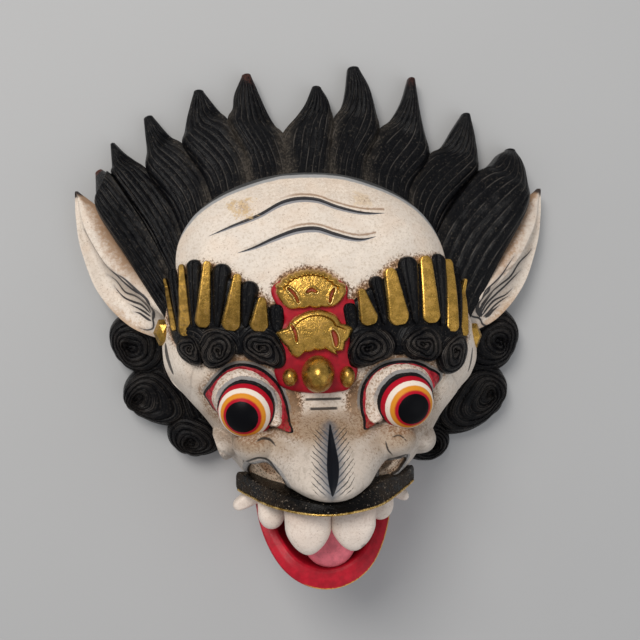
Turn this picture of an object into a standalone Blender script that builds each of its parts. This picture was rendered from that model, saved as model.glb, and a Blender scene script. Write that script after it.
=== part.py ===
"""A demon mask carved from one block of wood, lying on its flat back.

+Z points out of the face, +Y to the top of the head and +X to the viewer's right. The
features are set out in millimetres from a zero on the face's middle line, a little above
the eyes, and the forms are placed in the scene in metres with the finished box centred.
"""

import math

import bmesh
import bpy
import numpy as np
from mathutils import Vector

MM = 0.001

# Where the face's own zero lies in the finished frame.
FACE_X = -1.05
FACE_Y = 4.3
SINK = 4.0  # every form runs on this far below the back, before the back is planed flat
ROOT_DEPTH = 7.0  # how far a raised form is let into the wood below it

# Head: height of its middle line, half width at half that height, and lean of the middle line.
HEAD_TOP = 77.0
BROW_LINE = 20.0
FOREHEAD_HALF_WIDTH = 78.5
FOREHEAD_ROUNDING = 2.15
HEAD_POLE = (0.0, -52.0)
HEAD_STATIONS = (0.11, 0.22, 0.32, 0.42, 0.52, 0.61, 0.7, 0.79, 0.87, 0.94, 1.0)
SIDE_HALF_WIDTH = [(-104, 42), (-98, 47), (-92, 52), (-86, 58), (-80, 61.5), (-73, 64.5), (-66, 70),
                   (-60, 75), (-53, 81), (-45, 88.5), (-37, 92), (-24, 93), (-8, 90), (20, 78.5)]
FALL_HALF_WIDTH = [(-104, 43), (-92, 53), (-80, 62), (-66, 70.5), (-53, 81.5), (-37, 92.5), (-24, 93.5),
                   (0, 89), (20, 84), (37, 81), (47, 76.5), (58, 68), (67, 56), (77, 34)]
RIDGE_HEIGHT = [(-104, 84), (-80, 86), (-60, 82), (-50, 80), (-30, 82), (0, 81), (20, 78),
                (42, 71), (60, 59), (70, 49), (77, 42)]
LEAN = [(-104, 2), (-90, 3), (-30, 2.5), (0, 0), (30, -3.5), (77, -4)]
SIDE_FALL = 0.75
SIDE_SQUARENESS = 3.6
WALL_INSET = 4.0  # the head is this much narrower at its back than at the edge of its front

# Snout: ridge height and half width from the bridge to the lip, and its fall at that width.
SNOUT_HEIGHT = [(-108, 60), (-104, 84), (-100, 98), (-97.5, 111), (-95, 121), (-91, 126.5), (-86, 124.5),
                (-80, 116), (-72, 105), (-66, 98), (-60, 90), (-54, 76), (-44, 30)]
SNOUT_HALF_WIDTH = [(-104, 10), (-96, 17), (-90, 23), (-84, 27), (-78, 33), (-70, 40), (-62, 38), (-54, 30)]
SNOUT_FALL = 24.0
SNOUT_SQUARENESS = 2.4
# A nostril: its middle, its long and short half widths, its slope in degrees and its floor.
NOSTRIL = (32.5, -88.0, 12.0, 5.5, 32.0)
NOSTRIL_FLOOR = 74.0
NOSTRIL_FLARE = 24.0  # how much higher than its floor a nostril is at its edge
NOSTRIL_BLEND = 1.5
# The nostril wings and cheek knobs: middle, half width and half height, then foot and top.
WING = ((37.0, -73.0, 14.0, 11.0), 75.0, 97.0)
CHEEK_KNOB = ((57.0, -78.0, 10.0, 9.0), 54.0, 72.0)
BLEND = 3.0  # how softly one form runs into the next

# Hair: tips and valleys of the crown from left to right, and where its locks part at the forehead.
VALLEYS = [(-128.5, 58.0), (-120.8, 78.8), (-100.5, 82.8), (-78.4, 97.7), (-50.7, 112.1), (-17.5, 103.9),
           (13.4, 112.2), (42.2, 106.5), (73.5, 91.2), (104.1, 80.0), (133.0, 60.0)]
ROOTS = [(-86, -10), (-83, 14), (-75, 35), (-58, 56), (-36, 67), (-16, 69), (7, 69), (28, 65),
         (54, 50), (68, 32), (89, -14)]
# Each lock's left and right side, from the valley beside it to its tip.
LOCK_SIDES = [
    ([(-129.6, 65), (-130.8, 73), (-131.8, 80)], [(-122.8, 80), (-124.8, 81.2), (-127.6, 83)]),
    ([(-121.4, 85), (-121.9, 93), (-122.2, 97.9)], [(-107.7, 88.3), (-114.2, 93.3), (-119.6, 98.9)]),
    ([(-100.3, 94), (-101.1, 103), (-101.9, 112.8)], [(-85.4, 102.2), (-90.4, 107.7), (-96.3, 115.1)]),
    ([(-77.3, 105.4), (-75.3, 115.7), (-71.4, 129.6)], [(-55.6, 117.4), (-60.2, 123.2), (-65.2, 130)]),
    ([(-47.9, 119.5), (-46.6, 128.5), (-42, 139.2)], [(-22.6, 110), (-27.8, 120), (-36.3, 140.2)]),
    ([(-8, 115.8), (-3, 123.2), (1.2, 132.8)], [(12.9, 118.4), (10.9, 125.6), (7.1, 132.3)]),
    ([(19.4, 121), (22, 130.9), (23.6, 144.2)], [(40.9, 117.2), (37.3, 132), (30.9, 144.8)]),
    ([(50.4, 113.3), (57.4, 125), (61.8, 138.8)], [(71.3, 105.6), (68.3, 121), (66.1, 138.2)]),
    ([(82.8, 96.6), (90, 107.6), (96.3, 116.8)], [(105.5, 90), (103.8, 103.5), (101.2, 116.4)]),
    ([(112.6, 84.2), (119.3, 91.4), (124.9, 94.5)], [(134.6, 72.5), (133.6, 85.7), (130.6, 93.8)]),
]
ROOT_HEIGHT = 41.0
EDGE_LOCK_HEIGHT = 27.0
VALLEY_HEIGHT = 15.0
TIP_HEIGHT = 8.0
LOCK_CREST = 6.0
LOCK_OVERLAP = 1.3  # how far neighbouring locks run into each other
TIP_ROUNDING = 0.7  # how far a tip runs on past its sides, in half widths

# Ears: hair side, outer edge and the fold between them, from the root to the tip.
EAR_INNER = [(-82, -8), (-97, 12), (-111, 28), (-121.5, 45), (-128, 58), (-142.5, 70)]
EAR_OUTER = [(-86, -22), (-112, -12), (-131, 8.5), (-140.5, 34), (-143.2, 52), (-143.6, 69)]
EAR_FOLD = [0.25, 0.32, 0.42, 0.58, 0.72, 0.6]
EAR_RIM_HEIGHT = [42, 38, 32, 26, 21, 15]
EAR_BOWL_DEPTH = [4, 9, 10, 7, 3, 1]
EAR_EDGE_HEIGHT = [30, 22, 17, 15, 14, 13]
EAR_BACK_HEIGHT = [-SINK, 4, 6, 7, 7, 8]
RIGHT_EAR_SHIFT = 2.1

# Side curls: centre, half width and half height, on each side.
SIDE_CURLS = [(-107, -24, 20, 19), (-100, -57, 20, 19), (-76, -80, 18, 15),
              (112, -25, 21, 22), (103, -62, 23, 25), (70, -88, 18, 16)]
SIDE_CURL_HEIGHT = 19.0
SIDE_HAIR = [((-93, -6), (-70, -84)), ((96, -8), (68, -88))]
SIDE_HAIR_HALF_WIDTH = 20.0
SIDE_HAIR_HEIGHT = 14.0

# Brows: each plume's top and foot, then its width at the top and at the foot.
GOLD_PLUMES = [((-88.5, 17), (-82, -12), 1.6, 2.6), ((-77.4, 25), (-75, -13.5), 3.2, 7.4),
               ((-62.3, 26), (-65.5, -8.5), 3.6, 8.2), ((-46, 19), (-50.5, -10), 3.2, 10),
               ((-33, 6.5), (-35, -10.5), 2.2, 9.4), ((19.9, 10), (25, -8), 2.2, 10.5),
               ((36.3, 20.5), (41.3, -8.5), 6.5, 12.5), ((58.3, 27.5), (59.7, -8), 7.2, 10.4),
               ((76.2, 25.5), (73, -13.5), 5.4, 7.4), ((89.7, 13.5), (82.5, -17.5), 1.8, 5.4)]
BLACK_PLUMES = [((-83, 21.5), (-78.5, -12), 6, 4), ((-69.4, 26.5), (-70, -11), 8.5, 4.5),
                ((-53.9, 24), (-57.5, -9), 10, 5), ((-39.2, 14.5), (-42.5, -9), 9.5, 5.5),
                ((-25.5, 2), (-25.5, -10), 9, 7), ((13.2, 2), (15, -10), 8, 7),
                ((28.3, 16), (33, -9), 7.5, 4.5), ((47, 26.5), (50.5, -9), 11.5, 5.5),
                ((67.4, 28), (67, -11), 9.5, 5), ((83, 21), (78, -14), 6, 4)]
PLUME_STATIONS = (0.03, 0.14, 0.86, 0.97)
BROW_RISE = 5.0
# The ground below each brow: its outline and its middle.
BROW_GROUND = [
    ([(-86, 11), (-81, 17), (-69, 21), (-61, 21.5), (-52.5, 18.5), (-45.6, 13.5), (-37.7, 8.5), (-31, 1.5),
      (-23.8, -1.5), (-21.6, -6), (-22, -14), (-24, -20), (-34.8, -22), (-60, -24), (-72, -24), (-82, -20),
      (-86, -8)], (-52, -6)),
    ([(9.8, -1), (16, 3.5), (23, 9.5), (31, 13.5), (39, 20), (46, 22.5), (56, 23.5), (66, 24.2), (76, 22),
      (84, 16.5), (88.5, 10), (87.5, -4), (86, -18), (80, -28), (66, -28), (50, -24), (30, -24), (15, -22),
      (10.5, -12)], (48, -4)),
]
BROW_GROUND_RISE = 2.0
BROW_CURLS = [(-73.5, -22, 8.8, 9.3), (-57, -20.6, 11, 11.5), (-33.3, -21, 13.4, 11),
              (26.2, -21.7, 14.7, 11.2), (54, -20.9, 13.6, 10), (74.3, -27.4, 11.3, 12)]
BROW_CURL_RISE = 8.0

# Ornament: the outlines and middles of a red ground and of two fans, one above the other.
GROUND = ([(-28.9, 11.2), (-27.6, 5.1), (-22.2, -1.7), (-22, -6.7), (-27.4, -11.9), (-24.6, -18.3),
           (-22.6, -25.6), (-27.6, -31.3), (-27, -36), (-24.2, -41.9), (-12.2, -45.5), (-3.7, -46.2),
           (12.2, -45.2), (16.4, -40.6), (18, -35.2), (17.8, -30.6), (13.6, -24.5), (13.9, -17.3),
           (18.8, -12), (18.3, -7.8), (10.4, 0.8), (15.6, 6.6), (14.2, 11), (9, 15), (-6, 19),
           (-22, 15)], (-4.5, -18))
GROUND_RISE = 3.0
FANS = [
    ([(-26.4, 11.9), (-23.3, 15.4), (-19.3, 18.4), (-12.2, 20.7), (-2.6, 20.8), (5.4, 17.3), (12.6, 11.5),
      (12.1, 7.8), (6, 1.1), (-8.1, 1), (-19.2, -0.2), (-25.8, 8)], (-7.2, 8.5)),
    ([(-27.2, -12.2), (-20.9, -9.7), (-18.6, -6.2), (-12.6, -2.2), (-5.5, -0.4), (1.6, -1.1), (6.9, -3.9),
      (9, -7.7), (15.8, -10.5), (14.1, -14.9), (11.3, -18.4), (8.1, -25.9), (0.4, -21.9), (-5.8, -22.2),
      (-12, -23.4), (-18.2, -25), (-24.6, -15.8)], (-5.4, -13)),
]
FAN_RISE = 7.0
BOSSES = [((-4, -35), 9, 10.5, 15), ((-19, -36.5), 4.2, 5, 6), ((12, -37), 4.2, 6, 6)]
EAR_STUDS = [((-89, -14.4, 41), (6, 8.5, 8)), ((92.2, -20.2, 41), (5.5, 8, 7))]

# Eyes: the ball on its stub, and the almond-shaped lid's reach from the ball's middle by
# angle in degrees, from the side towards the nose.
EYES = [(-42.2, -52.8), (43.6, -50.8)]
EYE_RADIUS = 16.0
EYE_HEIGHT = 82.0
EYE_FOOT = 62.0
EYE_STATIONS = (0, 22, 44, 64, 80)  # the ball's rings, in degrees up from its widest
LID_REACH = [(-90, 14), (-50, 15), (-36, 20), (-27, 27), (-12, 23), (15, 21), (49, 21.5), (83, 23.3),
             (118, 24.6), (150, 24.4), (165, 25), (182, 18.5), (200, 15), (230, 14), (270, 14)]
LID_PROFILE = [(0, 15.0), (0.6, 17.5), (0.72, 13.5), (0.87, 7.0), (1.0, 1.0)]

# Mouth: the lip band, the teeth, the jaw's rim and the tongue.
LIP_PATH = [(-49.5, -97.5), (-40, -97.6), (-31, -97.5), (-22, -97.8), (-11.5, -98.6), (0, -99), (12, -97.8),
            (23, -96.9), (33, -96.5), (44.6, -97.5), (53, -96.8)]
LIP_HEIGHT = [61, 78, 94, 106, 114, 117, 114, 105, 91, 74, 61]
LIP_HALF_HEIGHT = [4.8, 5.6, 5.4, 4.6, 3.8, 3.4, 3.9, 4.9, 5.4, 5.0, 4.8]
LIP_ROLL = 5.0  # how far the band rounds out
GUM_DEPTH = 32.0  # how far the gum runs in behind it
TEETH = [((-11.7, -91, 101), (-11.9, -127.4, 101), 25, 22.5, 9),
         ((12, -91, 101), (12.4, -126.6, 101), 24.6, 22, 9),
         ((-30, -93, 88), (-30.3, -119.2, 84), 15, 13.5, 8),
         ((29.3, -93, 88), (29.8, -117, 82), 14.5, 13.5, 8),
         ((-39, -94, 72), (-49.8, -111.4, 63), 11, 5, 6), ((39.5, -93, 72), (46.6, -109.8, 63), 10, 5, 5.5)]
JAW_POLE = (0.5, -106.0)
JAW_OUTER = (39.5, 49.8)
JAW_INNER = (32.0, 38.5)
JAW_BACK = (33.0, 33.0)
JAW_RIM_HEIGHT = [(-156, 80), (-146, 77), (-132, 70), (-118, 63), (-106, 56), (-50, 50)]
MOUTH_FLOOR = 48.0
TONGUE = ((1.5, -106, 66), (2.5, -144.5, 73), 26, 25, 8)

# Hollow for the wearer's face, cut from behind.
HOLLOW_CENTRE = (1.0, -20.0)
HOLLOW_HALF_WIDTH = 72.0
HOLLOW_HALF_HEIGHT = 80.0
HOLLOW_DEPTH = 66.0
HOLLOW_SQUARENESS = 3.6

PAINTS = {
    "white_paint": ((0.72, 0.64, 0.57), 0.6, 0.0),
    "black_paint": ((0.012, 0.012, 0.014), 0.5, 0.0),
    "gold_leaf": ((0.62, 0.42, 0.12), 0.35, 1.0),
    "red_paint": ((0.42, 0.02, 0.03), 0.45, 0.0),
    "raw_wood": ((0.36, 0.24, 0.14), 0.8, 0.0),
}


def knot_curve(knots, at):
    """A smooth curve through (place, value) knots, its slope at each set by its neighbours."""
    places, values = np.array(sorted(knots), float).T
    slopes = np.gradient(values, places)
    at = np.clip(at, places[0], places[-1])
    left = np.clip(np.searchsorted(places, at) - 1, 0, len(places) - 2)
    gap = places[left + 1] - places[left]
    t = (at - places[left]) / gap
    rise = 3 * t**2 - 2 * t**3
    return (
        (1 - rise) * values[left]
        + rise * values[left + 1]
        + (t**3 - 2 * t**2 + t) * gap * slopes[left]
        + (t**3 - t**2) * gap * slopes[left + 1]
    )


def along(points, at):
    """Points on a smooth curve through evenly spaced points, with at from 0 to 1."""
    points = np.array(points, float)
    steps = np.linspace(0, 1, len(points))
    return np.stack([knot_curve(list(zip(steps, column)), at) for column in points.T], axis=-1)


def soft_max(a, b, blend=BLEND):
    return (a + b + np.sqrt((a - b) ** 2 + blend**2)) / 2


def soft_min(a, b, blend=BLEND):
    return (a + b - np.sqrt((a - b) ** 2 + blend**2)) / 2


def half_width(y):
    """Half the width of the head's front at this height on the face."""
    up = np.clip((y - BROW_LINE) / (HEAD_TOP - BROW_LINE), 0, 1)
    forehead = FOREHEAD_HALF_WIDTH * (1 - up**FOREHEAD_ROUNDING) ** (1 / FOREHEAD_ROUNDING)
    return np.where(y > BROW_LINE, forehead, knot_curve(SIDE_HALF_WIDTH, y))


def cap(x, y, place, foot, top):
    """A rounded knob over an oval: foot level at its rim and top level at its middle."""
    across, up, wide, high = place
    inside = 1 - ((x - across) / wide) ** 2 - ((y - up) / high) ** 2
    return np.where(inside > 0, foot + (top - foot) * np.sqrt(np.clip(inside, 0, 1)), 0)


def skin_height(x, y):
    """Height of the carved face above the back, from the dome of the head and the snout."""
    middle = x - knot_curve(LEAN, y)
    across = np.clip(np.abs(middle) / knot_curve(FALL_HALF_WIDTH, y), 0, 1)
    height = knot_curve(RIDGE_HEIGHT, y) * np.sqrt(1 - SIDE_FALL * across**SIDE_SQUARENESS)
    snout_across = np.abs(x) / knot_curve(SNOUT_HALF_WIDTH, y)
    snout = knot_curve(SNOUT_HEIGHT, y) - SNOUT_FALL * snout_across**SNOUT_SQUARENESS
    height = soft_max(height, snout)
    across, up, wide, high, slope = NOSTRIL
    cosine, sine = math.cos(math.radians(slope)), math.sin(math.radians(slope))
    for side in (-1, 1):
        height = soft_max(height, cap(side * x, y, *WING))
        height = soft_max(height, cap(side * x, y, *CHEEK_KNOB))
        right, above = side * x - across, y - up
        long_way, short_way = right * cosine + above * sine, above * cosine - right * sine
        pit = (long_way / wide) ** 2 + (short_way / high) ** 2
        height = soft_min(height, NOSTRIL_FLOOR + NOSTRIL_FLARE * pit, NOSTRIL_BLEND)
    return height


def head_outline(count):
    """The head's outline seen from the front, as points at even angles round its pole."""
    y = np.concatenate([np.linspace(-104, 70, 90), HEAD_TOP - np.geomspace(7, 0.02, 30)])
    middle = knot_curve(LEAN, y)
    wide = half_width(y)
    x = np.concatenate([middle - wide, (middle + wide)[::-1]]) - HEAD_POLE[0]
    y = np.concatenate([y, y[::-1]]) - HEAD_POLE[1]
    turns = np.arctan2(y, x)
    order = np.argsort(turns)
    angles = np.linspace(-math.pi, math.pi, count, endpoint=False)
    reach = np.interp(angles, turns[order], np.hypot(x, y)[order], period=2 * math.pi)
    return angles, reach


def closed_mesh(name, rings, paint, first_pole, last_pole):
    """A closed mesh from rings of points, capped at each end by a fan to a pole."""
    mesh = bmesh.new()
    rows = [[mesh.verts.new(tuple(point)) for point in ring] for ring in rings]
    for row, following in zip(rows, rows[1:]):
        for i in range(len(row)):
            j = (i + 1) % len(row)
            mesh.faces.new((row[i], row[j], following[j], following[i]))
    for pole, row in ((first_pole, rows[0]), (last_pole, rows[-1])):
        tip = mesh.verts.new(tuple(pole))
        for i in range(len(row)):
            mesh.faces.new((row[i], row[(i + 1) % len(row)], tip))
    bmesh.ops.scale(mesh, vec=(MM, MM, MM), verts=mesh.verts)
    bmesh.ops.translate(mesh, vec=(FACE_X * MM, FACE_Y * MM, 0), verts=mesh.verts)
    bmesh.ops.recalc_face_normals(mesh, faces=mesh.faces)
    data = bpy.data.meshes.new(name)
    mesh.to_mesh(data)
    mesh.free()
    data.materials.append(paint)
    return bpy.data.objects.new(name, data)


def upright(points, height):
    """Points of the plane at these heights."""
    return np.column_stack([points, np.broadcast_to(height, len(points))])


def head(paint):
    """The block of the head: its carved front, its side walls and a plain back."""
    angles, reach = head_outline(48)
    directions = np.column_stack([np.cos(angles), np.sin(angles)])
    rings = []
    for share in HEAD_STATIONS:
        points = np.array(HEAD_POLE) + directions * reach[:, None] * share
        rings.append(upright(points, skin_height(*points.T)))
    foot = np.array(HEAD_POLE) + directions * (reach - WALL_INSET)[:, None]
    rings.append(upright(foot, -SINK))
    top = (*HEAD_POLE, float(skin_height(*HEAD_POLE)))
    return closed_mesh("mask", rings, paint, top, (*HEAD_POLE, -SINK))


def lock(number, paint):
    """One flame-shaped lock of the crown, from the forehead to its rounded tip."""
    sides = []
    for at, points in zip((number, number + 1), LOCK_SIDES[number]):
        root, valley = np.array(ROOTS[at]), np.array(VALLEYS[at])
        sides.append(np.array([root, valley, *points]))
    left, right = sides
    across = (right[0] - left[0]) / np.linalg.norm(right[0] - left[0])
    left[:2] -= across * LOCK_OVERLAP
    right[:2] += across * LOCK_OVERLAP
    half = (right[-1] - left[-1]) / 2
    end = (left[-1] + right[-1]) / 2 + np.array([-half[1], half[0]]) * TIP_ROUNDING
    left = np.vstack([left, end - half / 2])
    right = np.vstack([right, end + half / 2])
    stations = np.array([0, 0.55, 0.71, 0.87, 0.98, 1.0])
    edge = number in (0, len(LOCK_SIDES) - 1)
    valley_height = EDGE_LOCK_HEIGHT if edge else VALLEY_HEIGHT
    level = np.interp(stations, [0, 0.55, 1], [ROOT_HEIGHT, valley_height, TIP_HEIGHT])
    shares = np.array([0, 0.1, 0.26, 0.42, 0.7, 1.0])
    bumps = np.array([0, 0.7, 1.0, 0.6, 0.45, 0])
    if number >= len(LOCK_SIDES) / 2:
        shares, bumps = 1 - shares[::-1], bumps[::-1]
    foot = np.array([0.97, 0.03])
    rings = []
    for i in range(len(stations)):
        top = left[i] + (right[i] - left[i]) * shares[:, None]
        crest = LOCK_CREST * (1 - 0.7 * stations[i] ** 3)
        base = left[i] + (right[i] - left[i]) * foot[:, None]
        rings.append(np.vstack([upright(top, level[i] + crest * bumps), upright(base, -SINK)]))
    return closed_mesh(f"lock_{number + 1}", rings, paint, rings[0].mean(axis=0), rings[-1].mean(axis=0))


def ear(name, side, paint):
    """A leaf-shaped ear: a raised rim on the hair side, a scooped bowl and a thin outer edge."""
    at = np.linspace(0, 1, 11)
    steps = np.linspace(0, 1, 6)
    inner, outer = along(EAR_INNER, at), along(EAR_OUTER, at)
    fold, rim, bowl, edge, back = (
        knot_curve(list(zip(steps, values)), at)
        for values in (EAR_FOLD, EAR_RIM_HEIGHT, EAR_BOWL_DEPTH, EAR_EDGE_HEIGHT, EAR_BACK_HEIGHT)
    )
    rings = []
    for i in range(len(at)):
        shares = np.array([0, fold[i] * 0.45, fold[i], fold[i] + 0.12, 0.75, 1.0, 0.8, 0.2])
        floor = (rim[i] + edge[i]) / 2 - bowl[i]
        heights = [rim[i] - 7, rim[i], rim[i] - 2, floor + 1, floor, edge[i], back[i], back[i]]
        points = inner[i] + (outer[i] - inner[i]) * shares[:, None]
        rings.append(np.column_stack([points, heights]))
    rings = np.array(rings)
    if side > 0:
        rings[..., 0] = RIGHT_EAR_SHIFT - rings[..., 0]
    return closed_mesh(name, rings, paint, rings[0].mean(axis=0), rings[-1].mean(axis=0))


def plume(name, top, foot, top_width, foot_width, depth, paint, sides=6):
    """A tapering round-ended form, an oval in section, from its foot to its top."""
    top, foot = np.array(top, float), np.array(foot, float)
    length = np.linalg.norm(top - foot)
    lengthways = (top - foot) / length
    across = np.cross(lengthways, (0, 0, 1))
    across /= np.linalg.norm(across)
    outward = np.cross(across, lengthways)
    turns = np.linspace(0, 2 * math.pi, sides, endpoint=False) + math.pi / sides
    rings = []
    for share in PLUME_STATIONS:
        width = foot_width + (top_width - foot_width) * share
        from_end = min(share, 1 - share) * length
        full = math.sqrt(1 - max(1 - 2 * from_end / width, 0) ** 2)
        middle = foot + (top - foot) * share
        rings.append(
            middle
            + across * (np.cos(turns) * width / 2 * full)[:, None]
            + outward * (np.sin(turns) * depth * full)[:, None]
        )
    return closed_mesh(name, rings, paint, foot, top)


def on_skin(point, rise):
    """A point of the face, this far above the skin there."""
    return (*point, float(skin_height(*point)) + rise)


def relief(name, centre, reach, profile, paint, level=None):
    """A raised form on the skin: reach gives its outline by angle, profile its height by share."""
    angles = np.linspace(0, 2 * math.pi, len(reach), endpoint=False)
    directions = np.column_stack([np.cos(angles), np.sin(angles)])

    def height(points):
        return skin_height(*points.T) if level is None else np.full(len(points), level)

    rings = []
    for share, rise in profile[1:]:
        points = np.array(centre) + directions * (reach * share)[:, None]
        rings.append(upright(points, height(points) + rise))
    rings.append(upright(points, height(points) - ROOT_DEPTH))
    middle = height(np.array([centre], float))[0]
    return closed_mesh(
        name, rings, paint, (*centre, middle + profile[0][1]), (*centre, middle - ROOT_DEPTH)
    )


def oval_reach(half_wide, half_high, count, turn=0.0):
    """The reach from its middle of an oval turned by this angle, at even angles."""
    angles = np.linspace(0, 2 * math.pi, count, endpoint=False) - turn
    return 1 / np.hypot(np.cos(angles) / half_wide, np.sin(angles) / half_high)


def reach_through(points, centre, count):
    """The reach of a closed outline through these points from its middle, at even angles."""
    offset = np.array(points) - np.array(centre)
    angles = np.linspace(0, 2 * math.pi, count, endpoint=False)
    turns = np.arctan2(offset[:, 1], offset[:, 0])
    order = np.argsort(turns)
    return np.interp(angles, turns[order], np.hypot(*offset.T)[order], period=2 * math.pi)


def curl(name, place, rise, paint, level=None, count=12):
    """A curl of hair: a rolled rim round a groove and a boss."""
    across, up, wide, high = place
    profile = [(0, 0.9), (0.38, 0.5), (0.66, 1.0), (0.88, 0.8), (1.0, 0.2)]
    heights = [(share, rise * part) for share, part in profile]
    return relief(name, (across, up), oval_reach(wide, high, count), heights, paint, level)


def ball(name, centre, radii, paint, segments=12, rings=8):
    """An egg-shaped form, its three radii along X, Y and Z."""
    mesh = bmesh.new()
    bmesh.ops.create_uvsphere(mesh, u_segments=segments, v_segments=rings, radius=1)
    bmesh.ops.scale(mesh, vec=Vector(radii) * MM, verts=mesh.verts)
    place = Vector((centre[0] + FACE_X, centre[1] + FACE_Y, centre[2])) * MM
    bmesh.ops.translate(mesh, vec=place, verts=mesh.verts)
    data = bpy.data.meshes.new(name)
    mesh.to_mesh(data)
    mesh.free()
    data.materials.append(paint)
    return bpy.data.objects.new(name, data)


def eyeball(name, centre, paint):
    """A round eye on a stub that runs down into the face."""
    angles = np.linspace(0, 2 * math.pi, 14, endpoint=False)
    directions = np.column_stack([np.cos(angles), np.sin(angles)])
    rings = [upright(np.array(centre) + directions * EYE_RADIUS, EYE_FOOT)]
    for degrees in EYE_STATIONS:
        turn = math.radians(degrees)
        points = np.array(centre) + directions * EYE_RADIUS * math.cos(turn)
        rings.append(upright(points, EYE_HEIGHT + EYE_RADIUS * math.sin(turn)))
    return closed_mesh(name, rings, paint, (*centre, EYE_FOOT), (*centre, EYE_HEIGHT + EYE_RADIUS))


def lid(name, centre, side, paint):
    """The almond-shaped lids round one eye."""
    angles = np.linspace(0, 360, 20, endpoint=False)
    seen = angles if side < 0 else (180 - angles) % 360
    reach = knot_curve(LID_REACH, np.where(seen > 270, seen - 360, seen))
    return relief(name, centre, reach, LID_PROFILE, paint)


def lip_band(paint):
    """The dark band of the upper lip, bent round the muzzle."""
    at = np.linspace(0, 1, 19)
    steps = np.linspace(0, 1, len(LIP_PATH))
    path = np.column_stack([along(LIP_PATH, at), knot_curve(list(zip(steps, LIP_HEIGHT)), at)])
    high = knot_curve(list(zip(steps, LIP_HALF_HEIGHT)), at)
    heading = np.gradient(path, axis=0)
    heading[:, 1] = 0
    heading /= np.linalg.norm(heading, axis=1)[:, None]
    outward = np.column_stack([-heading[:, 2], np.zeros(len(at)), heading[:, 0]])
    turns = np.linspace(0, 2 * math.pi, 8, endpoint=False)
    depth = np.where(np.cos(turns) > 0, LIP_ROLL, GUM_DEPTH) * np.cos(turns)
    up = np.array([0, 1, 0])
    rings = [
        path[i] + outward[i] * depth[:, None] + up * (np.sin(turns) * high[i])[:, None]
        for i in range(len(at))
    ]
    return closed_mesh("lip_band", rings, paint, rings[0].mean(axis=0), rings[-1].mean(axis=0))


def jaw(paint):
    """The lower jaw: a scoop with a thick rim, rising towards the chin, round the mouth."""
    angles = np.linspace(0, 2 * math.pi, 28, endpoint=False)
    directions = np.column_stack([np.cos(angles), np.sin(angles)])
    pole = np.array(JAW_POLE)
    outer, inner, back = (pole + directions * np.array(size) for size in (JAW_OUTER, JAW_INNER, JAW_BACK))
    rim = knot_curve(JAW_RIM_HEIGHT, outer[:, 1])
    rings = [
        upright(pole + (inner - pole) * 0.6, MOUTH_FLOOR),
        upright(pole + (inner - pole) * 0.86, MOUTH_FLOOR + 3),
        upright(pole + (inner - pole) * 0.98, rim - 9),
        upright(inner, rim),
        upright((inner + outer) / 2, rim + 2),
        upright(outer, rim - 1.5),
        upright(pole + (outer - pole) * 0.99, rim - 12),
        upright((outer + back) / 2, 26),
        upright(back, -SINK),
    ]
    return closed_mesh("jaw", rings, paint, (*JAW_POLE, MOUTH_FLOOR), (*JAW_POLE, -SINK))


def hollow(paint):
    """The hollow behind the face, as the solid that is cut away."""
    count = 24
    reach = oval_reach(HOLLOW_HALF_WIDTH, HOLLOW_HALF_HEIGHT, count)
    angles = np.linspace(0, 2 * math.pi, count, endpoint=False)
    directions = np.column_stack([np.cos(angles), np.sin(angles)])
    rings = []
    for share in (0.3, 0.55, 0.75, 0.88, 0.96, 1.0):
        points = np.array(HOLLOW_CENTRE) + directions * (reach * share)[:, None]
        rings.append(upright(points, HOLLOW_DEPTH * math.sqrt(1 - share**HOLLOW_SQUARENESS)))
    rings.append(upright(points, -2 * SINK))
    return closed_mesh(
        "hollow", rings, paint, (*HOLLOW_CENTRE, HOLLOW_DEPTH), (*HOLLOW_CENTRE, -2 * SINK)
    )


def planing(paint):
    """A slab below the back, cut away to leave the back flat."""
    mesh = bmesh.new()
    bmesh.ops.create_cube(mesh, size=1)
    bmesh.ops.scale(mesh, vec=(0.5, 0.5, 0.02), verts=mesh.verts)
    bmesh.ops.translate(mesh, vec=(0, 0, -0.01), verts=mesh.verts)
    data = bpy.data.meshes.new("planing")
    mesh.to_mesh(data)
    mesh.free()
    data.materials.append(paint)
    return bpy.data.objects.new("planing", data)


def paint_named(name):
    colour, roughness, metallic = PAINTS[name]
    material = bpy.data.materials.new(name)
    material.use_nodes = True
    shader = material.node_tree.nodes["Principled BSDF"]
    shader.inputs["Base Color"].default_value = (*colour, 1)
    shader.inputs["Roughness"].default_value = roughness
    shader.inputs["Metallic"].default_value = metallic
    return material


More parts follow.
